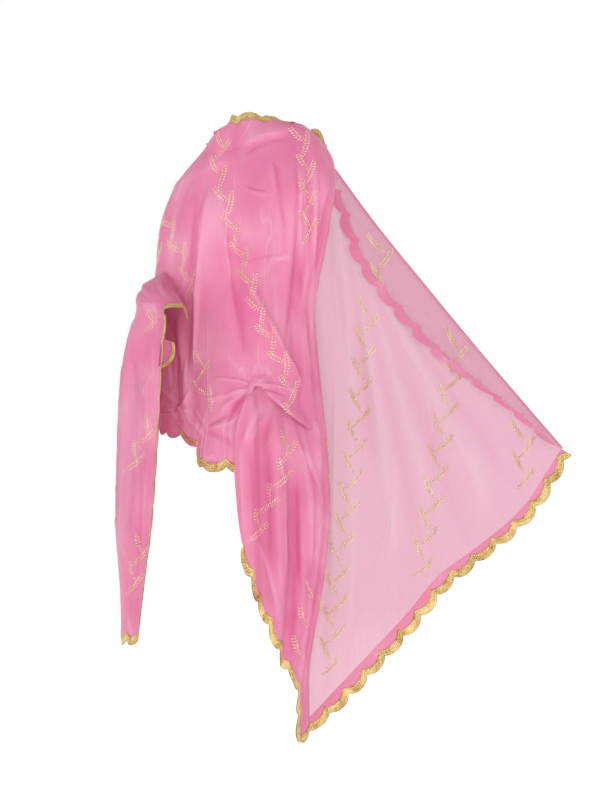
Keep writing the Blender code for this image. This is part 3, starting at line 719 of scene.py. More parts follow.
fall_s = np.linspace(0, 1, FALL_CELLS[0] + 1)[:, None]
fall_t = np.linspace(0, 1, FALL_CELLS[1] + 1)[None, :]
fall_smooth = left_fall_points(fall_s, fall_t)
fall_press = creases(FALL_CREASES, *seen(fall_smooth))
for side_creases in (SIDE_CREASES, FALL_SIDE_CREASES):
    fall_press += creases(side_creases, *bearing_and_height(fall_smooth), unit=DEGREE)
fall = pressed(fall_smooth, fall_press)
left_fall = stretch("left_fall", fall, FALL_COVER, fall_press)


# Wing. One layer of the cloth's free end, spread out behind the left arm, so sheer that what lies
# behind it shows pale through it. It hangs from the shoulder, and its folds run out from there.

WING_FOLD = (
    ("t", "across", "height"),
    (0.00, 0.180, -0.078),
    (0.20, 0.280, -0.214),
    (0.40, 0.386, -0.345),
    (0.60, 0.496, -0.478),
    (0.80, 0.600, -0.600),
    (1.00, 0.692, -0.706),
)
WING_LEFT = (
    ("t", "across", "height"),
    (0.00, 0.172, -0.084),
    (0.06, 0.160, -0.160),
    (0.14, 0.142, -0.260),
    (0.25, 0.122, -0.400),
    (0.40, 0.130, -0.590),
    (0.60, 0.146, -0.840),
    (0.80, 0.136, -1.080),
    (1.00, 0.123, -1.311),
)
WING_END = (
    ("s", "across", "height"),
    (0.00, 0.123, -1.311),
    (0.22, 0.241, -1.184),
    (0.42, 0.353, -1.067),
    (0.58, 0.426, -0.979),
    (0.70, 0.504, -0.923),
    (0.85, 0.606, -0.835),
    (0.94, 0.658, -0.760),
    (1.00, 0.692, -0.706),
)
WING_AWAY = 0.004
WING_TIP_BACK = 0.020
WING_RIPPLE = 0.007
WING_CELLS = (150, 200)
WING_MARGIN = (0.06, 0.04)  # share of it at each side, and at its end, where the creases fade out
COVER_OF_PRESS = 12.0  # a trough gathers the cloth and covers more
WING_CREASES = (
    ("across", "height", "low_across", "low_height", "bow", "left", "right", "depth"),
    (204, -180, 236, -667, 4, 9, 16, 4),
    (210, -169, 279, -753, 6, 11, 14, -4),
    (214, -169, 329, -948, 8, 12, 20, 5),
    (216, -180, 383, -948, 6, 14, 16, -4.4),
    (221, -201, 427, -905, 4, 12, 18, 4.4),
    (227, -223, 491, -916, 2, 14, 18, -4),
    (232, -245, 556, -862, 0, 13, 17, 4.2),
    (245, -277, 600, -797, -2, 12, 14, -3.6),
    (201, -234, 193, -1035, 0, 7, 9, 3.4),
    (201, -299, 171, -1230, 3, 8, 10, -3.2),
    (236, -667, 232, -1121, 3, 11, 14, 3.2),
    (331, -714, 314, -948, 3, 8, 12, 3),
    (405, -645, 409, -905, 0, 9, 12, -2.6),
    (491, -667, 517, -862, 0, 9, 12, 2.8),
    (258, -948, 221, -1186, 0, 10, 12, -2.6),
)


def in_plane(table, x, key):
    return np.stack(follow(table, x, key, "across", "height"), axis=-1)


def wing_away(s, t):
    """The wing's soft folds, which run out from the shoulder, and its slow curve back at the tip."""
    ripple = np.sin(s * 6.2 * math.pi + 0.6) * (1 - 0.55 * s) + 0.5 * np.sin(s * 15 + 2 * t)
    fan = np.sin(math.pi * np.minimum(s, 0.98)) ** 0.6
    return WING_AWAY + WING_TIP_BACK * s * t + WING_RIPPLE * ripple * fan * ease(t / 0.35)


def wing_points(s, t):
    """A patch between the shoulder, the left edge, the upper fold and the short end."""
    left, right = in_plane(WING_LEFT, t, "t"), in_plane(WING_FOLD, t, "t")
    corners = [in_plane(table, np.array(x), "t") for table in (WING_LEFT, WING_FOLD) for x in (0.0, 1.0)]
    top = mix(corners[0], corners[2], s[..., None])
    low = in_plane(WING_END, s, "s")
    sides = mix(left, right, s[..., None])
    ends = mix(top, low, t[..., None])
    middle = mix(top, mix(corners[1], corners[3], s[..., None]), t[..., None])
    place = sides + ends - middle
    return turned(place[..., 0], wing_away(s, t), place[..., 1])


wing_s, wing_t = np.meshgrid(np.linspace(0, 1, WING_CELLS[0] + 1), np.linspace(0, 1, WING_CELLS[1] + 1),
                             indexing="ij")
wing_smooth = wing_points(wing_s, wing_t)
side_margin, end_margin = WING_MARGIN
wing_margin = ease(np.minimum(np.minimum(wing_s, 1 - wing_s) / side_margin, (1 - wing_t) / end_margin))
wing_press = creases(WING_CREASES, *seen(wing_smooth)) * wing_margin
wing = pressed(wing_smooth, wing_press)
wing_piece = stretch("wing", wing, SHEER - COVER_OF_PRESS * wing_press, wing_press)


# Wing flap. Along the top the cloth is folded over to the front, so the flap shows its wrong side and,
# with the wing behind it, looks one tone deeper. The turn stands open a few millimetres.

FLAP_EDGE = (
    ("t", "across", "height"),
    (0.00, 0.190, -0.100),
    (0.10, 0.206, -0.140),
    (0.20, 0.232, -0.215),
    (0.30, 0.262, -0.292),
    (0.40, 0.310, -0.362),
    (0.50, 0.368, -0.430),
    (0.60, 0.430, -0.494),
    (0.70, 0.492, -0.545),
    (0.80, 0.555, -0.594),
    (0.90, 0.625, -0.650),
    (1.00, 0.682, -0.702),
)
FLAP_START = 0.03
FLAP_TURN = 0.004  # radius of the turn at the fold
FLAP_LEAN = 0.004  # how far the flap's edge stands off to the front
FLAP_PUFF = 0.0016
FLAP_CELLS = (200, 24)
FLAP_COVER = 0.22  # its threads lie over those of the wing
TURN_COVER = 0.85  # at the fold itself the cloth is seen edge-on
TURN_POINTS = 9


def flap_line(t):
    """From the wing's fold, round a half turn to the front, then down to the flap's edge."""
    fold, edge = in_plane(WING_FOLD, t, "t"), in_plane(FLAP_EDGE, t, "t")
    along = in_plane(WING_FOLD, np.minimum(t + 0.02, 1), "t") - in_plane(WING_FOLD, t - 0.02, "t")
    outward = unit(np.array((-along[1], along[0])))
    back = wing_away(np.array(1.0), t)
    points = []
    for angle in np.linspace(0, math.pi, TURN_POINTS):
        place = fold + outward * FLAP_TURN * math.sin(angle)
        points.append(turned(place[0], back - FLAP_TURN * (1 - math.cos(angle)), place[1]))
    for f in np.linspace(0, 1, FLAP_CELLS[1] + 1)[1:]:
        place = mix(fold, edge, f)
        puff = FLAP_PUFF * math.sin(math.pi * f) * (1 + math.sin(37 * t) * math.sin(9 * t))
        points.append(turned(place[0], back - 2 * FLAP_TURN - FLAP_LEAN * f - puff, place[1]))
    return points


flap = np.array([flap_line(t) for t in np.linspace(FLAP_START, 1, FLAP_CELLS[0] + 1)])
flap_cover = np.full(flap.shape[:2], FLAP_COVER)
flap_cover[:, :TURN_POINTS] = TURN_COVER
flap_piece = stretch("wing_flap", flap, flap_cover)


# End band. On the short end a straight strip is turned double and pressed flat, so it covers more
# than the wing does and shows as a clear pink line inside the gold.

BAND = (
    ("s", "width"),
    (0.00, 0.009),
    (0.12, 0.015),
    (0.30, 0.018),
    (0.46, 0.014),
    (0.60, 0.014),
    (0.72, 0.010),
    (0.88, 0.010),
    (1.00, 0.006),
)
BAND_RAISE = 0.0006
BAND_CELLS = 6
BAND_COVER = 0.9

hem_organza = organza_weave("doubled hem organza", "#E2668F", "#E97FA3", "#EE96B3")

end_way = wing[:, -1] - wing[:, -2]
end_run = np.gradient(wing[:, -1], axis=0)
end_run = unit(end_run) * ease(wing_s[:, :1] / 0.1)
end_way = unit(end_way - end_run * (end_way * end_run).sum(axis=1, keepdims=True))
end_way *= follow(BAND, wing_s[:, :1], "s", "width")[0]
end_out = grid_normals(wing)[:, -1]
band = np.stack([wing[:, -1] + end_way * f + end_out * BAND_RAISE * (0 < f < 1)
                 for f in np.linspace(0, 1, BAND_CELLS + 1)], axis=1)
band_piece = stretch("end_band", band, BAND_COVER, 0.0, hem_organza)


# Back fold. Behind the left arm the organza turns back on itself, from the drape's end to the wing, and
# hangs there in one soft fold.

BACK_FOLD_TOP = -0.115
BACK_FOLD_LOW = -1.290
BACK_FOLD_TAPER = -1.080  # below this it lies closer behind the fall
BACK_FOLD_CELLS = (236, 20)
BACK_FOLD_COVER = 0.8
BACK_FOLD_PATH = (  # share of the way from cape to wing, share of its length back across, and metres away
    ("share", "back", "lean"),
    (0.45, 0.25, -0.001),
    (0.75, 0.45, -0.001),
    (0.97, 0.30, 0.001),
)


def cape_end(height):
    """A place on the cape's left end, of the drape above and of the fall below."""
    rows = drape[-1] if height > fall[-1, 0, 2] else fall[-1]
    order = np.argsort(rows[:, 2])
    return np.array([np.interp(height, rows[order, 2], rows[order, i]) for i in range(3)])


def back_fold_line(height):
    start = cape_end(height)
    t = smooth(height, column(WING_LEFT, "height"), column(WING_LEFT, "t"))
    end = wing_points(np.array(0.0), t)
    leg = np.linalg.norm(end - start)
    path = [start]
    for share, back_share, lean in BACK_FOLD_PATH[1:]:
        back_share *= mix(1.0, 0.1, ease((BACK_FOLD_TAPER - height) / 0.15))
        path.append(mix(start, end, share) + turned(-back_share * leg, lean, 0.0))
    path.append(end)
    return spline(path, BACK_FOLD_CELLS[1] + 1)


back_fold = np.array([back_fold_line(z)
                      for z in np.linspace(BACK_FOLD_TOP, BACK_FOLD_LOW, BACK_FOLD_CELLS[0] + 1)])
back_fold = back_fold.transpose(1, 0, 2)
back_fold_piece = stretch("back_fold", back_fold, BACK_FOLD_COVER)


# Right fall. The other free end, laid over the right forearm, hangs from it in three loose layers. One
# sheet makes them all: it runs away from the near edge, turns, comes back and turns again.

FALL_SIDES = (
    ("height", "edge", "outline", "near", "far"),
    (-0.415, -0.161, -0.230, -0.150, 0.080),
    (-0.450, -0.164, -0.245, -0.152, 0.095),
    (-0.500, -0.167, -0.256, -0.152, 0.105),
    (-0.560, -0.170, -0.265, -0.150, 0.110),
    (-0.710, -0.179, -0.272, -0.145, 0.110),
    (-0.862, -0.190, -0.275, -0.140, 0.100),
    (-0.950, -0.201, -0.269, -0.135, 0.090),
    (-1.013, -0.209, -0.264, -0.130, 0.080),
    (-1.105, -0.220, -0.261, -0.120, 0.060),
)
LAYERS = (
    ("inward", "depth"),
    (0.00, 0.00),
    (0.05, 0.07),
    (0.36, 0.17),
    (0.80, 0.33),
    (1.00, 0.58),
    (0.90, 0.86),
    (0.70, 1.00),
    (0.52, 0.88),
    (0.66, 0.62),
    (0.52, 0.42),
    (0.40, 0.29),
    (0.30, 0.28),
    (0.30, 0.44),
    (0.40, 0.64),
    (0.36, 0.84),
)
RIGHT_CELLS = (210, 160)
RIGHT_LOW = -1.090
RIGHT_LEVELS = 40  # heights at which the layers' path is worked out
RIPPLE = 0.0022
RIGHT_SWAY = 0.012  # how uneven its lower edge hangs
RIGHT_COVER = 0.93  # where its layers lie close
THIN_COVER = 0.82  # at one narrow place beside its outer edge, where fewer layers lie
THIN_ACROSS = -0.232  # its place at the height below
THIN_HEIGHT = -0.60
THIN_LEAN = 0.10
THIN_WIDTH = 0.016
THIN_FROM = -0.50
THIN_TO = -0.76
THIN_PAINTED_LIGHT = 0.007  # painted light on the thin place, as much lighter as a ridge this high
RIGHT_TOP = (-0.420, -0.390, -0.455)  # at the wrist, at the elbow, and where the inner layers start
RIGHT_FALL_CREASES = (
    ("across", "height", "low_across", "low_height", "bow", "left", "right", "depth"),
    (-238, -424, -255, -602, -3, 3, 6, 3),
    (-237, -502, -220, -645, -2, 1.8, 6, -3.6),
    (-186, -533, -222, -590, -3, 1.8, 4, 3.4),
    (-222, -585, -219, -650, 0, 1.8, 5, -3.4),
    (-201, -450, -194, -545, 2, 1.8, 5, 3),
    (-237, -734, -250, -890, 1, 1.8, 6, -3.6),
    (-256, -720, -262, -900, 0, 4, 4, 3),
    (-221, -667, -229, -992, 2, 4, 5, -2.6),
    (-264, -753, -258, -1078, 0, 3, 4, 2.2),
    (-210, -753, -216, -948, 0, 3, 4, 2),
    (-238, -948, -247, -1104, 0, 3, 4, -2.2),
)


def right_top(u):
    """The fall's upper edge rises from the wrist to the elbow, and its inner layers start lower."""
    wrist_top, elbow_top, inner_top = RIGHT_TOP
    return mix(mix(wrist_top, elbow_top, ease(u / 0.3)), inner_top, ease((u - 0.38) / 0.15))


right_heights = np.linspace(RIGHT_LOW - 0.02, -0.385, RIGHT_LEVELS)
right_paths = []
for edge, outline, near, far in zip(*follow(FALL_SIDES, right_heights, "height",
                                            "edge", "outline", "near", "far")):
    across, away = mix(edge, outline, column(LAYERS, "inward")), mix(near, far, column(LAYERS, "depth"))
    right_paths.append(spline(np.stack((across, away), axis=1), RIGHT_CELLS[0] + 1))
right_paths = np.array(right_paths)


def right_fall_column(j):
    u = j / RIGHT_CELLS[0]
    heights = np.linspace(right_top(u), RIGHT_LOW - RIGHT_SWAY * math.sin(u * 9), RIGHT_CELLS[1] + 1)
    across, away = (np.interp(heights, right_heights, right_paths[:, j, i]) for i in (0, 1))
    ahead = unit(right_paths[:, min(j + 1, RIGHT_CELLS[0])] - right_paths[:, max(j - 1, 0)])
    way = [np.interp(heights, right_heights, ahead[:, i]) for i in (0, 1)]
    push = RIPPLE * math.sin(u * 60) * ease((right_top(u) - heights) / 0.15)
    return turned(across + push * way[1], away - push * way[0], heights)


right_smooth = np.array([right_fall_column(j) for j in range(RIGHT_CELLS[0] + 1)])[::-1]
right_press = creases(RIGHT_FALL_CREASES, *seen(right_smooth))
right_fall_grid = pressed(right_smooth, right_press)
right_across, right_height = seen(right_smooth)
thin_and_painted_light = ease((THIN_FROM - right_height) / 0.08) * (1 - ease((THIN_TO - right_height) / 0.30))
thin_middle = THIN_ACROSS + THIN_LEAN * (right_height - THIN_HEIGHT)
thin_and_painted_light *= np.exp(-np.abs((right_across - thin_middle) / THIN_WIDTH) ** 3)
right_cover = mix(RIGHT_COVER, THIN_COVER, thin_and_painted_light)
# Painted light: the thin place is painted paler too, where the layers seen through it lie in shade.
right_press += THIN_PAINTED_LIGHT * thin_and_painted_light
right_fall = stretch("right_fall", right_fall_grid, right_cover, right_press)


# Forearm wrap. The organza over the right forearm, between the drape and the fall. It is open at the
# wrist and lies in place by its own weight.

WRIST = (
    ("s", "across", "away", "height"),
    (0.0, -0.162, -0.150, -0.420),
    (0.2, -0.163, -0.152, -0.405),
    (0.5, -0.147, -0.155, -0.396),
    (0.8, -0.124, -0.155, -0.402),
    (1.0, -0.113, -0.152, -0.424),
)
ELBOW = (
    ("s", "bearing", "height"),
    (0.0, -80, -0.388),
    (0.5, -55, -0.322),
    (1.0, -26, -0.400),
)
ELBOW_OUT = 0.0006
LEG_SHARE = 12 / 37  # share of the right fall's path that hangs from the wrap's outer edge
WRAP_CELLS = 44
WRAP_BELLY = 0.004
WRAP_MARGIN = 0.08  # share of it at its edges where the creases fade out
WRAP_CREASES = (  # places and widths in thousandths of the wrap
    ("s", "t", "low_s", "low_t", "bow", "left", "right", "depth"),
    (160, 980, 220, 300, 30, 30, 60, 3.6),
    (300, 950, 360, 220, -20, 50, 50, -3.4),
    (440, 990, 460, 120, 40, 30, 60, 4),
    (600, 960, 580, 240, 20, 50, 50, -3),
    (740, 990, 700, 340, -30, 30, 60, 3.6),
    (860, 900, 840, 400, 10, 40, 40, -2.6),
)
WRAP_COVER = 0.85


def elbow_points(s):
    bearing, height = follow(ELBOW, s, "s", "bearing", "height")
    radius = body_radius(bearing, height) + cape_fold(bearing, height) + ELBOW_OUT
    return polar(bearing, radius, height)


wrap_steps = np.linspace(0, 1, WRAP_CELLS + 1)
wrist = turned(*follow(WRIST, wrap_steps, "s", "across", "away", "height"))
elbow = elbow_points(wrap_steps)
outer = right_smooth[::-1][: round(LEG_SHARE * RIGHT_CELLS[0]) + 1, 0]
outer = spline(np.vstack((wrist[:1], outer[4::6], elbow[:1])), WRAP_CELLS + 1)
inner = mix(wrist[-1], elbow[-1], wrap_steps[:, None])
inner[:, 2] += WRAP_BELLY * np.sin(math.pi * wrap_steps)
s, t = wrap_steps[:, None, None], wrap_steps[None, :, None]
wrap = mix(outer[None], inner[None], s) + mix(wrist[:, None], elbow[:, None], t)
wrap -= mix(mix(outer[0], inner[0], s), mix(outer[-1], inner[-1], s), t)
wrap_length = np.broadcast_to(wrap_steps[None, :], wrap.shape[:2])
wrap_across = np.broadcast_to(wrap_steps[:, None], wrap.shape[:2])
wrap_margin = ease(np.minimum(np.minimum(wrap_across, 1 - wrap_across), 1 - wrap_length) / WRAP_MARGIN)
wrap_press = creases(WRAP_CREASES, wrap_across, wrap_length) * wrap_margin
wrap, wrap_press = pressed(wrap, wrap_press)[:, ::-1], wrap_press[:, ::-1]
wrap_piece = stretch("forearm_wrap", wrap, WRAP_COVER, wrap_press)


# Hand flap. Under the hand the corner of the organza is turned out, with nothing to hold it, and shows
# its paler single layer.

HAND_FLAP_INNER = (
    ("t", "across", "height"),
    (0.0, -0.1680, -0.470),
    (0.5, -0.1715, -0.500),
    (1.0, -0.1745, -0.528),
)
HAND_FLAP_OUTER = (
    ("t", "across", "height"),
    (0.0, -0.1450, -0.478),
    (0.5, -0.1520, -0.508),
    (1.0, -0.1690, -0.531),
)
HAND_FLAP_AWAY = -0.146
HAND_FLAP_SLANT = 0.010
HAND_FLAP_BELLY = 0.004
HAND_FLAP_CELLS = 20
HAND_FLAP_COVER = 0.72

hand_s, hand_t = np.meshgrid(*[np.linspace(0, 1, HAND_FLAP_CELLS + 1)] * 2, indexing="ij")
place = mix(in_plane(HAND_FLAP_INNER, hand_t, "t"), in_plane(HAND_FLAP_OUTER, hand_t, "t"),
            hand_s[..., None])
hand_away = HAND_FLAP_AWAY + HAND_FLAP_SLANT * hand_s + HAND_FLAP_BELLY * np.sin(math.pi * hand_s)
hand_grid = turned(place[..., 0], hand_away, place[..., 1])
hand_flap = stretch("hand_flap", hand_grid, HAND_FLAP_COVER)


# Scalloped border. Every edge of the cloth is cut in round lobes and covered with a band of gold zari
# thread, laid close and stitched through with small sequins. The band is worked on the right side over a
# pink backing, so from the wrong side it shows as a deeper pink band.

SCALLOP = 0.058
BORDER_CUSP = 0.0115
BORDER_LOBE = 0.0240
LOBE_ROUND = 2.4  # 2 is a parabola, more is fuller
GOLD_WIDTH = 0.0190
BORDER_STEP = 0.0022  # spacing of the points along a band
BACKING_DROP = 0.0003  # the backing lies this far under the cloth
BACKING_LAP = 0.0006
BACKING_COVER = 0.93
BACKING_SHARES = (0.04, 0.35, 0.7, 1.0)
EDGE_COVER = 0.9
BACK_EDGE_COVER = 0.78
FLAP_BORDER_START = 0.08
BAND_UNDER = (0.7, 0.3)
SEQUIN_ROWS = (0.25, 0.5, 0.75)
SEQUIN_RISE = 0.0012
BAND_PROFILE = (
    ("share", "rise"),
    (0.00, 0.0001),
    (0.02, 0.0009),
    (0.08, 0.0012),
    (0.14, 0.0008),
    (0.30, 0.0012),
    (0.50, 0.0014),
    (0.70, 0.0012),
    (0.86, 0.0008),
    (0.92, 0.0013),
    (0.98, 0.0010),
    (1.00, 0.0001),
)
KNOT_PITCH = 0.0031  # from one couching stitch to the next
LAID_THREAD = 0.0016  # real threads are 0.4 mm, drawn in bundles of four
LAID_PAINTED_GLINT = 0.35  # share of the laid threads' painted glint and furrow shade in the tone
KNOT_SHADE = -0.5  # and of the couching stitches, painted darker as shade where they sink in
CORD_FROM, CORD_TO = 0.93, 0.97  # shares of the band's width over which the edge's cord begins
ZARI_SHADE = "#6E4C22"
ZARI = "#BE9445"
ZARI_LIGHT = "#F2DA98"
EDGE_CORD = "#B87A5C"


def zari_embroidery(name, shade, middle, light, laid_flat=True):
    """Laid gold thread: a thin metal strip wound on a yellow core. Each bundle of it is painted with a glint
    on its crest and brown shade in the furrow beside it. Only a band that is laid flat has a UV map."""
    made, tree, shader = new_material(name)
    if laid_flat:
        place = node(tree, "UVMap", {"uv_map": "cloth"})
    else:
        place = node(tree, "TexCoord").outputs["Object"]
    turn = node(tree, "Mapping", Vector=place, Rotation=(0, 0, math.radians(24)))
    laid = node(tree, "TexWave", {"bands_direction": "X"}, Vector=turn, Scale=math.tau / 20 / LAID_THREAD,
                Distortion=2.0, Detail=2.0, Detail_Scale=1.5).outputs["Fac"]
    knots = node(tree, "TexVoronoi", {"voronoi_dimensions": "2D"}, Vector=place, Scale=1 / KNOT_PITCH,
                 Randomness=0.8)
    cloud = node(tree, "TexNoise", FLAT_NOISE, Vector=place, Scale=38.0, Detail=3.0)
    gleam = node(tree, "Math", TIMES_PLUS, n0=laid, n1=LAID_PAINTED_GLINT, n2=cloud)
    spark = node(tree, "Math", TIMES_PLUS, n0=knots, n1=KNOT_SHADE, n2=gleam)
    colour = node(tree, "ValToRGB", {"stops": ((0.12, shade), (0.40, middle), (0.64, light))}, Fac=spark)
    if laid_flat:
        across = node(tree, "SeparateXYZ", Vector=place).outputs["Y"]
        cord = node(tree, "MapRange", Value=across, From_Min=CORD_FROM * GOLD_WIDTH,
                    From_Max=CORD_TO * GOLD_WIDTH)
        colour = node(tree, "Mix", {"data_type": "RGBA"}, n0=cord, n6=colour,
                      n7=(*linear(EDGE_CORD), 1)).outputs[2]
    bump = node(tree, "Bump", Strength=0.6, Distance=0.0005, Height=spark)
    fill(tree, shader, Base_Color=colour, Normal=bump, Metallic=0.45, Roughness=0.36)
    return made


zari = zari_embroidery("gold zari embroidery", ZARI_SHADE, ZARI, ZARI_LIGHT)


def evenly(edge, *others):
    """An edge and what goes with its points, spaced evenly along it, after the distance along it."""
    run = run_along(edge)
    even = np.linspace(0, run[-1], max(round(run[-1] / BORDER_STEP), 2) + 1)
    return [even] + [at_distance(even, run, values) for values in (edge, *others)]


def scallop_width(distance):
    """The border's width: round lobes that meet in cusps."""
    f = distance / SCALLOP % 1
    return BORDER_CUSP + (BORDER_LOBE - BORDER_CUSP) * (1 - np.abs(2 * f - 1) ** LOBE_ROUND)


def tube(name, rings, places, finish):
    """A closed strip through rings of points, with its ends filled."""
    index = np.arange(rings.shape[0] * rings.shape[1]).reshape(rings.shape[:2])
    nearer, further = index[:-1], index[1:]
    faces = np.stack((nearer, np.roll(nearer, -1, 1), np.roll(further, -1, 1), further), axis=-1)
    faces = faces.reshape(-1, 4).tolist() + [index[0, ::-1].tolist(), index[-1].tolist()]
    return laid_out(name, rings.reshape(-1, 3), faces, places.reshape(-1, 2), finish)


def scalloped_band(name, cloth, edge, inner, outward, cover, lean=0.0, scale=1.0, face=1, ground=organza,
                   rim=0.0, gold_to=1.0, phase=0.0):
    """The gold band beyond a cloth's edge, and the pink backing under it. The gold is on the side that
    outward points to, or on the other where face is -1, and reaches gold_to of the way to the backing's
    edge. It also gives the lines that its sequins follow: their points, which way they run, which way is
    out, and their size."""
    way = unit(unit(edge - inner) + lean)
    distance, edge, way, out = evenly(edge, way, outward)
    way = unit(way)
    out = unit(out - way * (out * way).sum(axis=1, keepdims=True)) * face
    along = unit(np.gradient(edge, axis=0))
    order = -1 if np.sum(np.cross(way, along) * out) < 0 else 1
    width = scallop_width(distance + phase) * scale
    start = width - GOLD_WIDTH * scale
    low = np.minimum(start, 0) - BACKING_LAP
    shares = [low, start, *[mix(start, width - rim, f) for f in BACKING_SHARES]]
    backing = np.stack([edge + way * x[:, None] - out * BACKING_DROP for x in shares], axis=1)
    hidden = np.array([cover, cover, *[BACKING_COVER] * len(BACKING_SHARES)])[None, :]
    backing_piece = cloth_piece(f"{name}_backing", backing[:, ::order], hidden[:, ::order], 0.0, ground)
    gold_width = mix(start, width, gold_to)
    share, rise = column(BAND_PROFILE, "share"), column(BAND_PROFILE, "rise")
    across = mix(start[:, None], gold_width[:, None], share[None, :])
    top = edge[:, None] + way[:, None] * across[..., None] + out[:, None] * rise[None, :, None]
    under = np.stack([edge + way * mix(start, gold_width, x)[:, None] for x in BAND_UNDER], axis=1)
    rings = np.concatenate((top, under), axis=1)
    places = np.stack(np.broadcast_arrays(distance[:, None], np.array((*share, *BAND_UNDER)) * GOLD_WIDTH),
                      axis=-1)
    gold = tube(f"{name}_gold", rings[:, ::order], places[:, ::order], zari)
    gold.parent = backing_piece.parent = cloth
    lines = [(edge + way * mix(start, gold_width, row)[:, None] + out * SEQUIN_RISE, along, out,
              np.full(len(edge), scale)) for row in SEQUIN_ROWS]
    return gold, backing_piece, lines


def low_edge(grid, places=slice(None)):
    """Along the last column of a grid of points: the edge, the cloth inside it and the way out."""
    return grid[places, -1], grid[places, -3], grid_normals(grid)[places, -2]


def high_edge(grid):
    return grid[:, 0], grid[:, 1], grid_normals(grid)[:, 0]


def last_edge(grid, inside):
    """The same along the last row, with the cloth that many rows in."""
    return grid[-1], grid[-1 - inside], grid_normals(grid)[-inside]


NECK_IN = (1.6, 1.3, 0.15)  # how far the neck's border turns in: on the right, on the left, between them
NECK_OUT = 0.6  # how far it turns out behind the left shoulder
neck_right, neck_left, neck_rest = NECK_IN
neck_inward = neck_right * (1 - ease((drape_bearings - 2) / 14)) + neck_rest
neck_inward += neck_left * ease((drape_bearings - 78) / 8) * (1 - ease((drape_bearings - 96) / 6))
neck_outward = NECK_OUT * ease((drape_bearings - 98) / 8)
neck_lean = polar(drape_bearings, neck_outward - neck_inward, -0.5 * (neck_inward - neck_rest))
CORNER_SOFT = 5  # points before and after the cloth's corner over which its border turns
HEM_ENDS = (-76, -28.5, -8, 33)  # bearings: the hem's wrong side shows, then half the gold, then all of it
RIGHT_EDGE_LEAN = 0.25  # how far the near edge's gold is turned out to the front
hem_ends = np.searchsorted(drape_bearings, HEM_ENDS)
turned_columns, narrow_columns, hem_columns = (
    np.arange(first, last + 1) for first, last in zip(hem_ends[:-1], hem_ends[1:]))
turned_columns = turned_columns[::-1]
# The turned hem's wrong side lies in shade, so its pink is painted paler than the cloth: painted light.
lit_reverse_organza = organza_weave("reverse of the hem", "#EE8FB4", "#F3A4C3", "#F7B8D0")
gold_columns = np.nonzero(fall[0, :, 2] < FALL_GOLD_FROM)[0]
fall_out = grid_normals(fall)
corner_edge = np.concatenate((fall[0, gold_columns], fall[1:, -1]))
corner_in = np.concatenate((fall[3, gold_columns], fall[1:, -3]))
corner_out = np.concatenate((fall_out[1, gold_columns], fall_out[1:, -2]))
corner_way = np.pad(unit(corner_edge - corner_in), ((CORNER_SOFT, CORNER_SOFT), (0, 0)), mode="edge")
corner_way = unit(sum(corner_way[k : k + len(corner_edge)] for k in range(2 * CORNER_SOFT + 1)))
flap_from = round(FLAP_BORDER_START * FLAP_CELLS[0])

BORDERS = (
    ("name", "cloth", "edge", "cover", "cut"),
    ("neck_border", front_drape, high_edge(drape), EDGE_COVER, {"lean": neck_lean}),
    ("front_hem_border", front_drape, low_edge(drape, hem_columns), EDGE_COVER, {"phase": 0.016}),
    ("front_hem_border-narrow", front_drape, low_edge(drape, narrow_columns), EDGE_COVER,
     {"scale": 0.8, "gold_to": 0.55}),
    ("front_hem_border-turned", front_drape, low_edge(drape, turned_columns), EDGE_COVER,
     {"scale": 0.8, "face": -1, "ground": lit_reverse_organza, "rim": 0.003}),
    ("back_border", right_back, high_edge(back), BACK_EDGE_COVER, {}),
    ("left_fall_border", left_fall, (corner_edge, corner_edge - corner_way * BORDER_STEP, corner_out),
     EDGE_COVER, {}),
    ("wing_end_border", band_piece, (band[:, -1], band[:, -3], end_out), EDGE_COVER,
     {"ground": hem_organza, "phase": 0.040}),
    ("flap_border", flap_piece, low_edge(flap, slice(flap_from, None)), SHEER, {"face": -1}),
    ("right_fall_border", right_fall, last_edge(right_fall_grid, 2), RIGHT_COVER,
     {"lean": turned(RIGHT_EDGE_LEAN, 0.0, 0.0)}),
    ("right_end_border", right_fall, low_edge(right_fall_grid), RIGHT_COVER, {}),
    ("wrist_border", wrap_piece, low_edge(wrap), WRAP_COVER, {"lean": np.array((0, 0, -0.6)), "scale": 0.6}),
    ("hand_flap_border", hand_flap, last_edge(hand_grid, 1), HAND_FLAP_COVER, {"scale": 0.45}),
)

borders = {}
for border_node, cloth, edge, cover, cut in BORDERS[1:]:
    borders[border_node] = scalloped_band(border_node, cloth, *edge, cover, **cut)
for border_node, (gold, *_) in borders.items():
    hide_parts(border_node.split("-")[0])


# Vines. Sprigs of gold thread are worked all over the cloth in long zigzag rows: each is a fine stem
# with some ten pairs of small padded leaves, and they stand by turns to the left and right of the row.

SPRIG_HABITS = {  # how far apart left sprigs start, then the left one's root and tip and the right one's
    "open": (0.0677, ((0.006, 0.043), (-0.022, 0.000)), ((-0.009, 0.080), (0.023, 0.038))),
    "close": (0.062, ((0.008, 0.035), (-0.014, 0.000)), ((-0.010, 0.069), (0.018, 0.018))),
}
SPRIG_POINTS = 12
FIRST_LEAF = 0.55  # size of a sprig's first leaves, and of its last, beside the full ones
LAST_LEAF = 0.80
LEAF_TILT = 0.12
SEQUIN_TILT = 0.25
LEAF_SIZES = (  # small and close together where the cloth is one layer and lies open
    ("where", "pitch", "length", "width", "stem"),
    ("drape", 0.0058, 0.0080, 0.0025, 0.00035),
    ("wing", 0.0050, 0.0070, 0.0034, 0.00055),
)
LEAF_RISE = 0.0008
LEAF_GAP = 0.0004  # between the stem and a leaf
LEAF_BELLY = 0.68  # where along it a leaf is widest
LEAF_LEAN = math.radians(56)
SEQUIN_PITCH = 0.0042
SEQUIN_RADIUS = 0.0015
SEQUIN_THICK = 0.0002
SEQUIN_THREAD = 0.0002
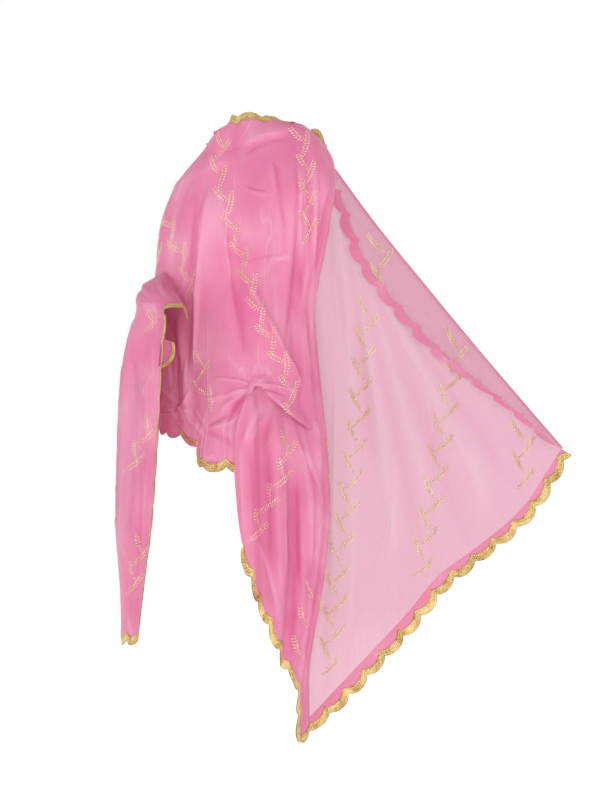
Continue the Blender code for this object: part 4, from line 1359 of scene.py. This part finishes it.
THREAD_CARRIES = (
    ("title", "kind", "field"),
    ("out", "FLOAT_VECTOR", "vector"),
    ("toward", "FLOAT_VECTOR", "vector"),
    ("size", "FLOAT", "value"),
)
SPRIG_BOW = 0.003
STEM_RISE = 0.0004
ROW_POINTS = 60
LONGEST_STITCH = 0.02

# One gold thread painted in two tones: pale where it is lit on the denser cloth, and deeper gold on the wing
# and its flap, painted as shade where it is lit from behind.
lit_vine_thread = zari_embroidery("pale gold vine thread", "#E6BC7C", "#FADDAE", "#FFF4DC", laid_flat=False)
backlit_vine_thread = zari_embroidery("gold vine thread", "#C2944C", "#E1BD7E", "#F8E4B4", laid_flat=False)
sequin_gold = zari_embroidery("gold sequins", "#B4882F", "#E2BC5E", "#FBE9B0", laid_flat=False)


def leaf_pair(length, width):
    """Two leaves that lean to a sprig's tip, one each side of the stem, padded on both faces."""
    points, faces = [], []
    for side in (1, -1):
        run = np.array((math.cos(LEAF_LEAN), side * math.sin(LEAF_LEAN), 0.0))
        wide = np.array((-run[1], run[0], 0.0)) * side * width / 2
        tip, middle, rise = run * length, run * length * LEAF_BELLY, np.array((0, 0, LEAF_RISE))
        first = len(points)
        points += [run * LEAF_GAP, middle - wide, tip, middle + wide, middle + rise, middle - rise]
        for a, b in ((0, 1), (1, 2), (2, 3), (3, 0)):
            top = (first + a, first + b, first + 4)
            low = (first + b, first + a, first + 5)
            faces += [top, low] if side == 1 else [top[::-1], low[::-1]]
    return put("leaf pair", new_mesh("leaf pair", points, faces))


def sequin():
    """A shallow cup with six sides."""
    points = [(math.cos(k * math.pi / 3) * SEQUIN_RADIUS, math.sin(k * math.pi / 3) * SEQUIN_RADIUS, 0.0)
              for k in range(6)] + [(0, 0, SEQUIN_RADIUS * 0.35), (0, 0, -SEQUIN_THICK)]
    faces = [(k, (k + 1) % 6, 6) for k in range(6)] + [((k + 1) % 6, k, 7) for k in range(6)]
    return put("sequin", new_mesh("sequin", points, faces))


def stitch_tree(item, finish):
    """Sets an item at an even pitch along lines of thread, and draws the thread itself as a thin tube.
    The lines carry which way the item points, which way is out of the cloth, and its size."""
    tree = bpy.data.node_groups.new(f"{item.name} along a thread", "GeometryNodeTree")
    tree.interface.new_socket("Geometry", in_out="OUTPUT", socket_type="NodeSocketGeometry")
    for name, kind in (("Threads", "Geometry"), ("Pitch", "Float"), ("Thread radius", "Float"),
                       ("Tilt", "Float"), ("Seed", "Int")):
        tree.interface.new_socket(name, in_out="INPUT", socket_type=f"NodeSocket{kind}")
    given = node(tree, "NodeGroupInput").outputs
    curve = node(tree, "MeshToCurve", Mesh=given["Threads"])
    points = node(tree, "ResampleCurve", {"mode": "LENGTH"}, Curve=curve, Length=given["Pitch"])
    out, toward, size = (node(tree, "InputNamedAttribute", {"data_type": kind}, Name=name)
                         for name, kind, _ in THREAD_CARRIES[1:])
    upright = node(tree, "FunctionNodeAlignRotationToVector", {"axis": "Z"}, Vector=out)
    facing = node(tree, "FunctionNodeAlignRotationToVector", {"axis": "X", "pivot_axis": "Z"},
                  Rotation=upright, Vector=toward)
    limit = node(tree, "ShaderNodeMath", {"operation": "MULTIPLY"}, n0=given["Tilt"], n1=-1.0)
    lean = node(tree, "FunctionNodeRandomValue", {"data_type": "FLOAT_VECTOR"}, Min=limit, Max=given["Tilt"],
                Seed=given["Seed"])
    leaned = node(tree, "FunctionNodeRotateRotation", {"rotation_space": "LOCAL"}, Rotation=facing,
                  Rotate_By=lean)
    thing = node(tree, "ObjectInfo", Object=item, As_Instance=True).outputs["Geometry"]
    placed = node(tree, "InstanceOnPoints", Points=points, Instance=thing, Rotation=leaned, Scale=size)
    ring = node(tree, "CurvePrimitiveCircle", Resolution=3, Radius=given["Thread radius"])
    thread = node(tree, "CurveToMesh", Curve=points, Profile_Curve=ring)
    joined = node(tree, "JoinGeometry", Geometry=placed)
    fill(tree, joined, Geometry=thread)
    real = node(tree, "RealizeInstances", Geometry=joined)
    done = node(tree, "SetMaterial", Geometry=real, Material=finish)
    node(tree, "NodeGroupOutput", Geometry=done)
    return tree


def stitched(name, lines, tree, values):
    """A plain mesh of all that a tree sets along some lines."""
    points, toward, out, size = (np.concatenate(part) for part in zip(*lines))
    starts = np.cumsum([0] + [len(line[0]) for line in lines])
    edges = [(k, k + 1) for first, last in zip(starts, starts[1:]) for k in range(first, last - 1)]
    mesh = new_mesh(name, points, [], edges)
    for (title, kind, field), part in zip(THREAD_CARRIES[1:], (out, toward, size)):
        mesh.attributes.new(title, kind, "POINT").data.foreach_set(field, part.astype(np.float32).reshape(-1))
    guide = put(f"{name}_threads", mesh)
    modifier = guide.modifiers.new("stitches", "NODES")
    modifier.node_group = tree
    sockets = {item.name: item.identifier for item in tree.interface.items_tree if item.in_out == "INPUT"}
    for title, value in values.items():
        modifier[sockets[title]] = value
    plain = bpy.data.meshes.new_from_object(guide.evaluated_get(bpy.context.evaluated_depsgraph_get()))
    bpy.data.objects.remove(guide)
    made = put(name, plain)
    return made


def surface(piece):
    mesh = piece.data
    return BVHTree.FromPolygons([v.co for v in mesh.vertices], [p.vertices for p in mesh.polygons])


def sight(azimuth):
    """The direction to the right, and the eye, when the cloth is looked at from round the wearer."""
    angle = math.radians(azimuth)
    side = Vector((math.cos(angle), math.sin(angle), 0))
    eye = Vector((-math.sin(angle), math.cos(angle), 0)) * EYE_AWAY + side * EYE_ACROSS
    eye.z = EYE_HEIGHT
    return side, eye


def sprig_row(cloth, azimuth, habit, path):
    """Sprigs along a row that is drawn as it is seen from one side and laid on what shows there."""
    side, eye = sight(azimuth)
    line = spline(np.array(path) * MM, ROW_POINTS)
    run = run_along(line)
    row = np.hstack((line, unit(np.gradient(line, axis=0))))
    pitch, *pairs = SPRIG_HABITS[habit]
    lines = []
    for start in np.arange(0.0, run[-1] - pairs[1][0][1] + 0.001, pitch):
        for root, tip in pairs:
            hits = []
            for f in np.linspace(0, 1, SPRIG_POINTS):
                p, d = mix(np.array(root), np.array(tip), f)
                p += SPRIG_BOW * 4 * f * (1 - f) * (1 if tip[0] > root[0] else -1)
                x, y, way_x, way_y = at_distance([start + d], run, row)[0]
                aim = side * (x - p * way_y) + Vector((0, 0, y + p * way_x)) - eye
                hits.append(cloth.ray_cast(eye, aim.normalized())[:2])
            hits = [hit for hit in hits if hit[0] is not None]
            if len(hits) < SPRIG_POINTS / 2:
                continue
            points, outs = np.array(hits).transpose(1, 0, 2)
            if np.linalg.norm(np.diff(points, axis=0), axis=1).max() > LONGEST_STITCH:
                continue
            outs *= np.sign(((np.array(eye) - points) * outs).sum(axis=1, keepdims=True))
            share = np.linspace(0, 1, len(hits))
            size = mix(FIRST_LEAF, 1, ease(share / 0.30)) * mix(1, LAST_LEAF, ease((share - 0.75) / 0.25))
            lines.append((points + outs * STEM_RISE, unit(np.gradient(points, axis=0)), outs, size))
    return lines


VINES = (
    ("cloth", "azimuth", "habit", "path"),  # paths in millimetres
    (front_drape, 35, "close", ((-43, -17), (-56, -93), (-35, -180), (-15, -255), (8, -331), (32, -407),
      (64, -483), (97, -554), (108, -680))),
    (front_drape, 35, "close", ((-173, -195), (-154, -245), (-128, -303), (-112, -380))),
    (front_drape, 35, "close", ((-89, -498), (-93, -569), (-67, -611), (-37, -654))),
    (front_drape, 35, "close", ((117, -9), (132, -61), (139, -147), (141, -268))),
    (front_drape, -60, "close", ((-30, -110), (-20, -220), (-10, -340))),
    (front_drape, -85, "close", ((-10, -110), (0, -240), (0, -380))),
    (front_drape, 100, "close", ((35, -90), (40, -240), (40, -420), (50, -640))),
    (right_back, -125, "close", ((-10, -130), (0, -230), (0, -350))),
    (left_fall, 35, "close", ((98, -671), (84, -760), (45, -835), (22, -905), (12, -960))),
    (left_fall, 35, "close", ((150, -995), (137, -1060), (120, -1130), (106, -1190))),
    (left_fall, 100, "open", ((40, -700), (40, -900), (30, -1150))),
    (flap_piece, 35, "open", ((292, -238), (300, -294), (296, -400))),
    (wing_piece, 35, "open", ((273, -377), (262, -494), (249, -634), (232, -775), (214, -916),
      (200, -1035), (184, -1165), (176, -1251))),
    (flap_piece, 35, "open", ((464, -446), (458, -500), (446, -560))),
    (wing_piece, 35, "open", ((459, -502), (444, -580), (427, -699), (409, -808), (390, -927),
      (368, -1026))),
    (wing_piece, 35, "open", ((604, -645), (606, -732), (596, -851))),
    (right_fall, 35, "close", ((-196, -392), (-208, -464))),
    (right_fall, 35, "close", ((-197, -640), (-226, -702), (-256, -772))),
    (right_fall, 35, "close", ((-216, -896), (-232, -960), (-247, -1032))),
    (right_fall, -55, "open", ((-20, -480), (-25, -700), (-15, -960))),
)

cup = sequin()
sequin_stitches = stitch_tree(cup, sequin_gold)
leaf_stitches = {}
for (where, pitch, length, width, stem), thread in zip(LEAF_SIZES[1:], (lit_vine_thread, backlit_vine_thread)):
    leaves = leaf_pair(length, width)
    leaf_stitches[where] = leaves, stitch_tree(leaves, thread), {"Pitch": pitch, "Thread radius": stem}
for cloth in dict.fromkeys(row[0] for row in VINES[1:]):
    shape = surface(cloth)
    sprigs = [line for other, azimuth, habit, path in VINES[1:] if other == cloth
              for line in sprig_row(shape, azimuth, habit, path)]
    leaves, tree, sizes = leaf_stitches["wing" if cloth in (wing_piece, flap_piece) else "drape"]
    vine = stitched(cloth.name.replace("cloth", "vines"), sprigs, tree,
                    {**sizes, "Tilt": LEAF_TILT, "Seed": 3})
    vine.parent = cloth
for border_node, (gold, _, lines) in borders.items():
    sequins = stitched(f"{border_node}_sequins", lines, sequin_stitches,
                       {"Pitch": SEQUIN_PITCH, "Thread radius": SEQUIN_THREAD,
                        "Tilt": SEQUIN_TILT, "Seed": 5})
    sequins.parent = gold
for pattern in (cup, *(row[0] for row in leaf_stitches.values())):
    bpy.data.objects.remove(pattern)


# Stage. A sheet of matt white studio paper under the hanging cloth, lit from below as well, and four
# soft lamps that stand round it.

FLOOR_Z = -1.460
FLOOR_SIZE = 60.0
FLOOR_GLOW = 0.45  # the paper is lit from below as well, so that it goes white to its far edge
CAMERA_LENS = 103.9
FILL_LIGHT = 0.62
LAMPS_AIM = (0, 0, -0.65)
STUDIO_LIGHTS = (
    ("name", "place", "power", "size"),
    ("key", (1.8, -3.4, 1.5), 19, 1.0),
    ("side", (-3.0, -1.0, 0.4), 16, 1.0),
    ("front", (0.05, -4.4, -0.75), 24, 0.6),
    ("back", (0.6, 3.0, 1.2), 17, 2.0),
)

bpy.ops.mesh.primitive_plane_add(size=FLOOR_SIZE, location=(0, 0, 0))
floor = bpy.context.object
floor.name = "studio_floor"
for vertex in floor.data.vertices:
    vertex.co.z = FLOOR_Z
floor_finish, floor_tree, floor_shader = new_material("matt studio paper")
fill(floor_tree, floor_shader, Base_Color=(*linear("#F7F6F6"), 1), Roughness=0.9,
     Emission_Color=(1, 1, 1, 1), Emission_Strength=FLOOR_GLOW)
floor.data.materials.append(floor_finish)

world = bpy.data.worlds.new("studio")
world.use_nodes = True
sky = world.node_tree
backdrop = sky.nodes["Background"]
backdrop.inputs["Color"].default_value = (1, 1, 1, 1)
glow = node(sky, "Background", Color=(1, 1, 1, 1), Strength=FILL_LIGHT)
direct = node(sky, "LightPath").outputs["Is Camera Ray"]
both = node(sky, "MixShader", n0=direct, n1=glow, n2=backdrop)
fill(sky, sky.nodes["World Output"], Surface=both)
bpy.context.scene.world = world

for name, place, power, size in STUDIO_LIGHTS[1:]:
    light = bpy.data.lights.new(name, "AREA")
    light.energy = power
    light.size = size
    lamp = put(name, light)
    lamp.location = turned(*place).tolist()
    aim = Vector(LAMPS_AIM) - lamp.location
    lamp.rotation_euler = aim.to_track_quat("-Z", "Y").to_euler()

lens = bpy.data.cameras.new("camera")
lens.lens = CAMERA_LENS
camera = put("camera", lens)
camera.location = turned(EYE_ACROSS, EYE_AWAY, EYE_HEIGHT).tolist()
camera.rotation_euler = (math.pi / 2, 0, TURN)
bpy.context.scene.camera = camera
bpy.context.scene.view_settings.view_transform = "Standard"
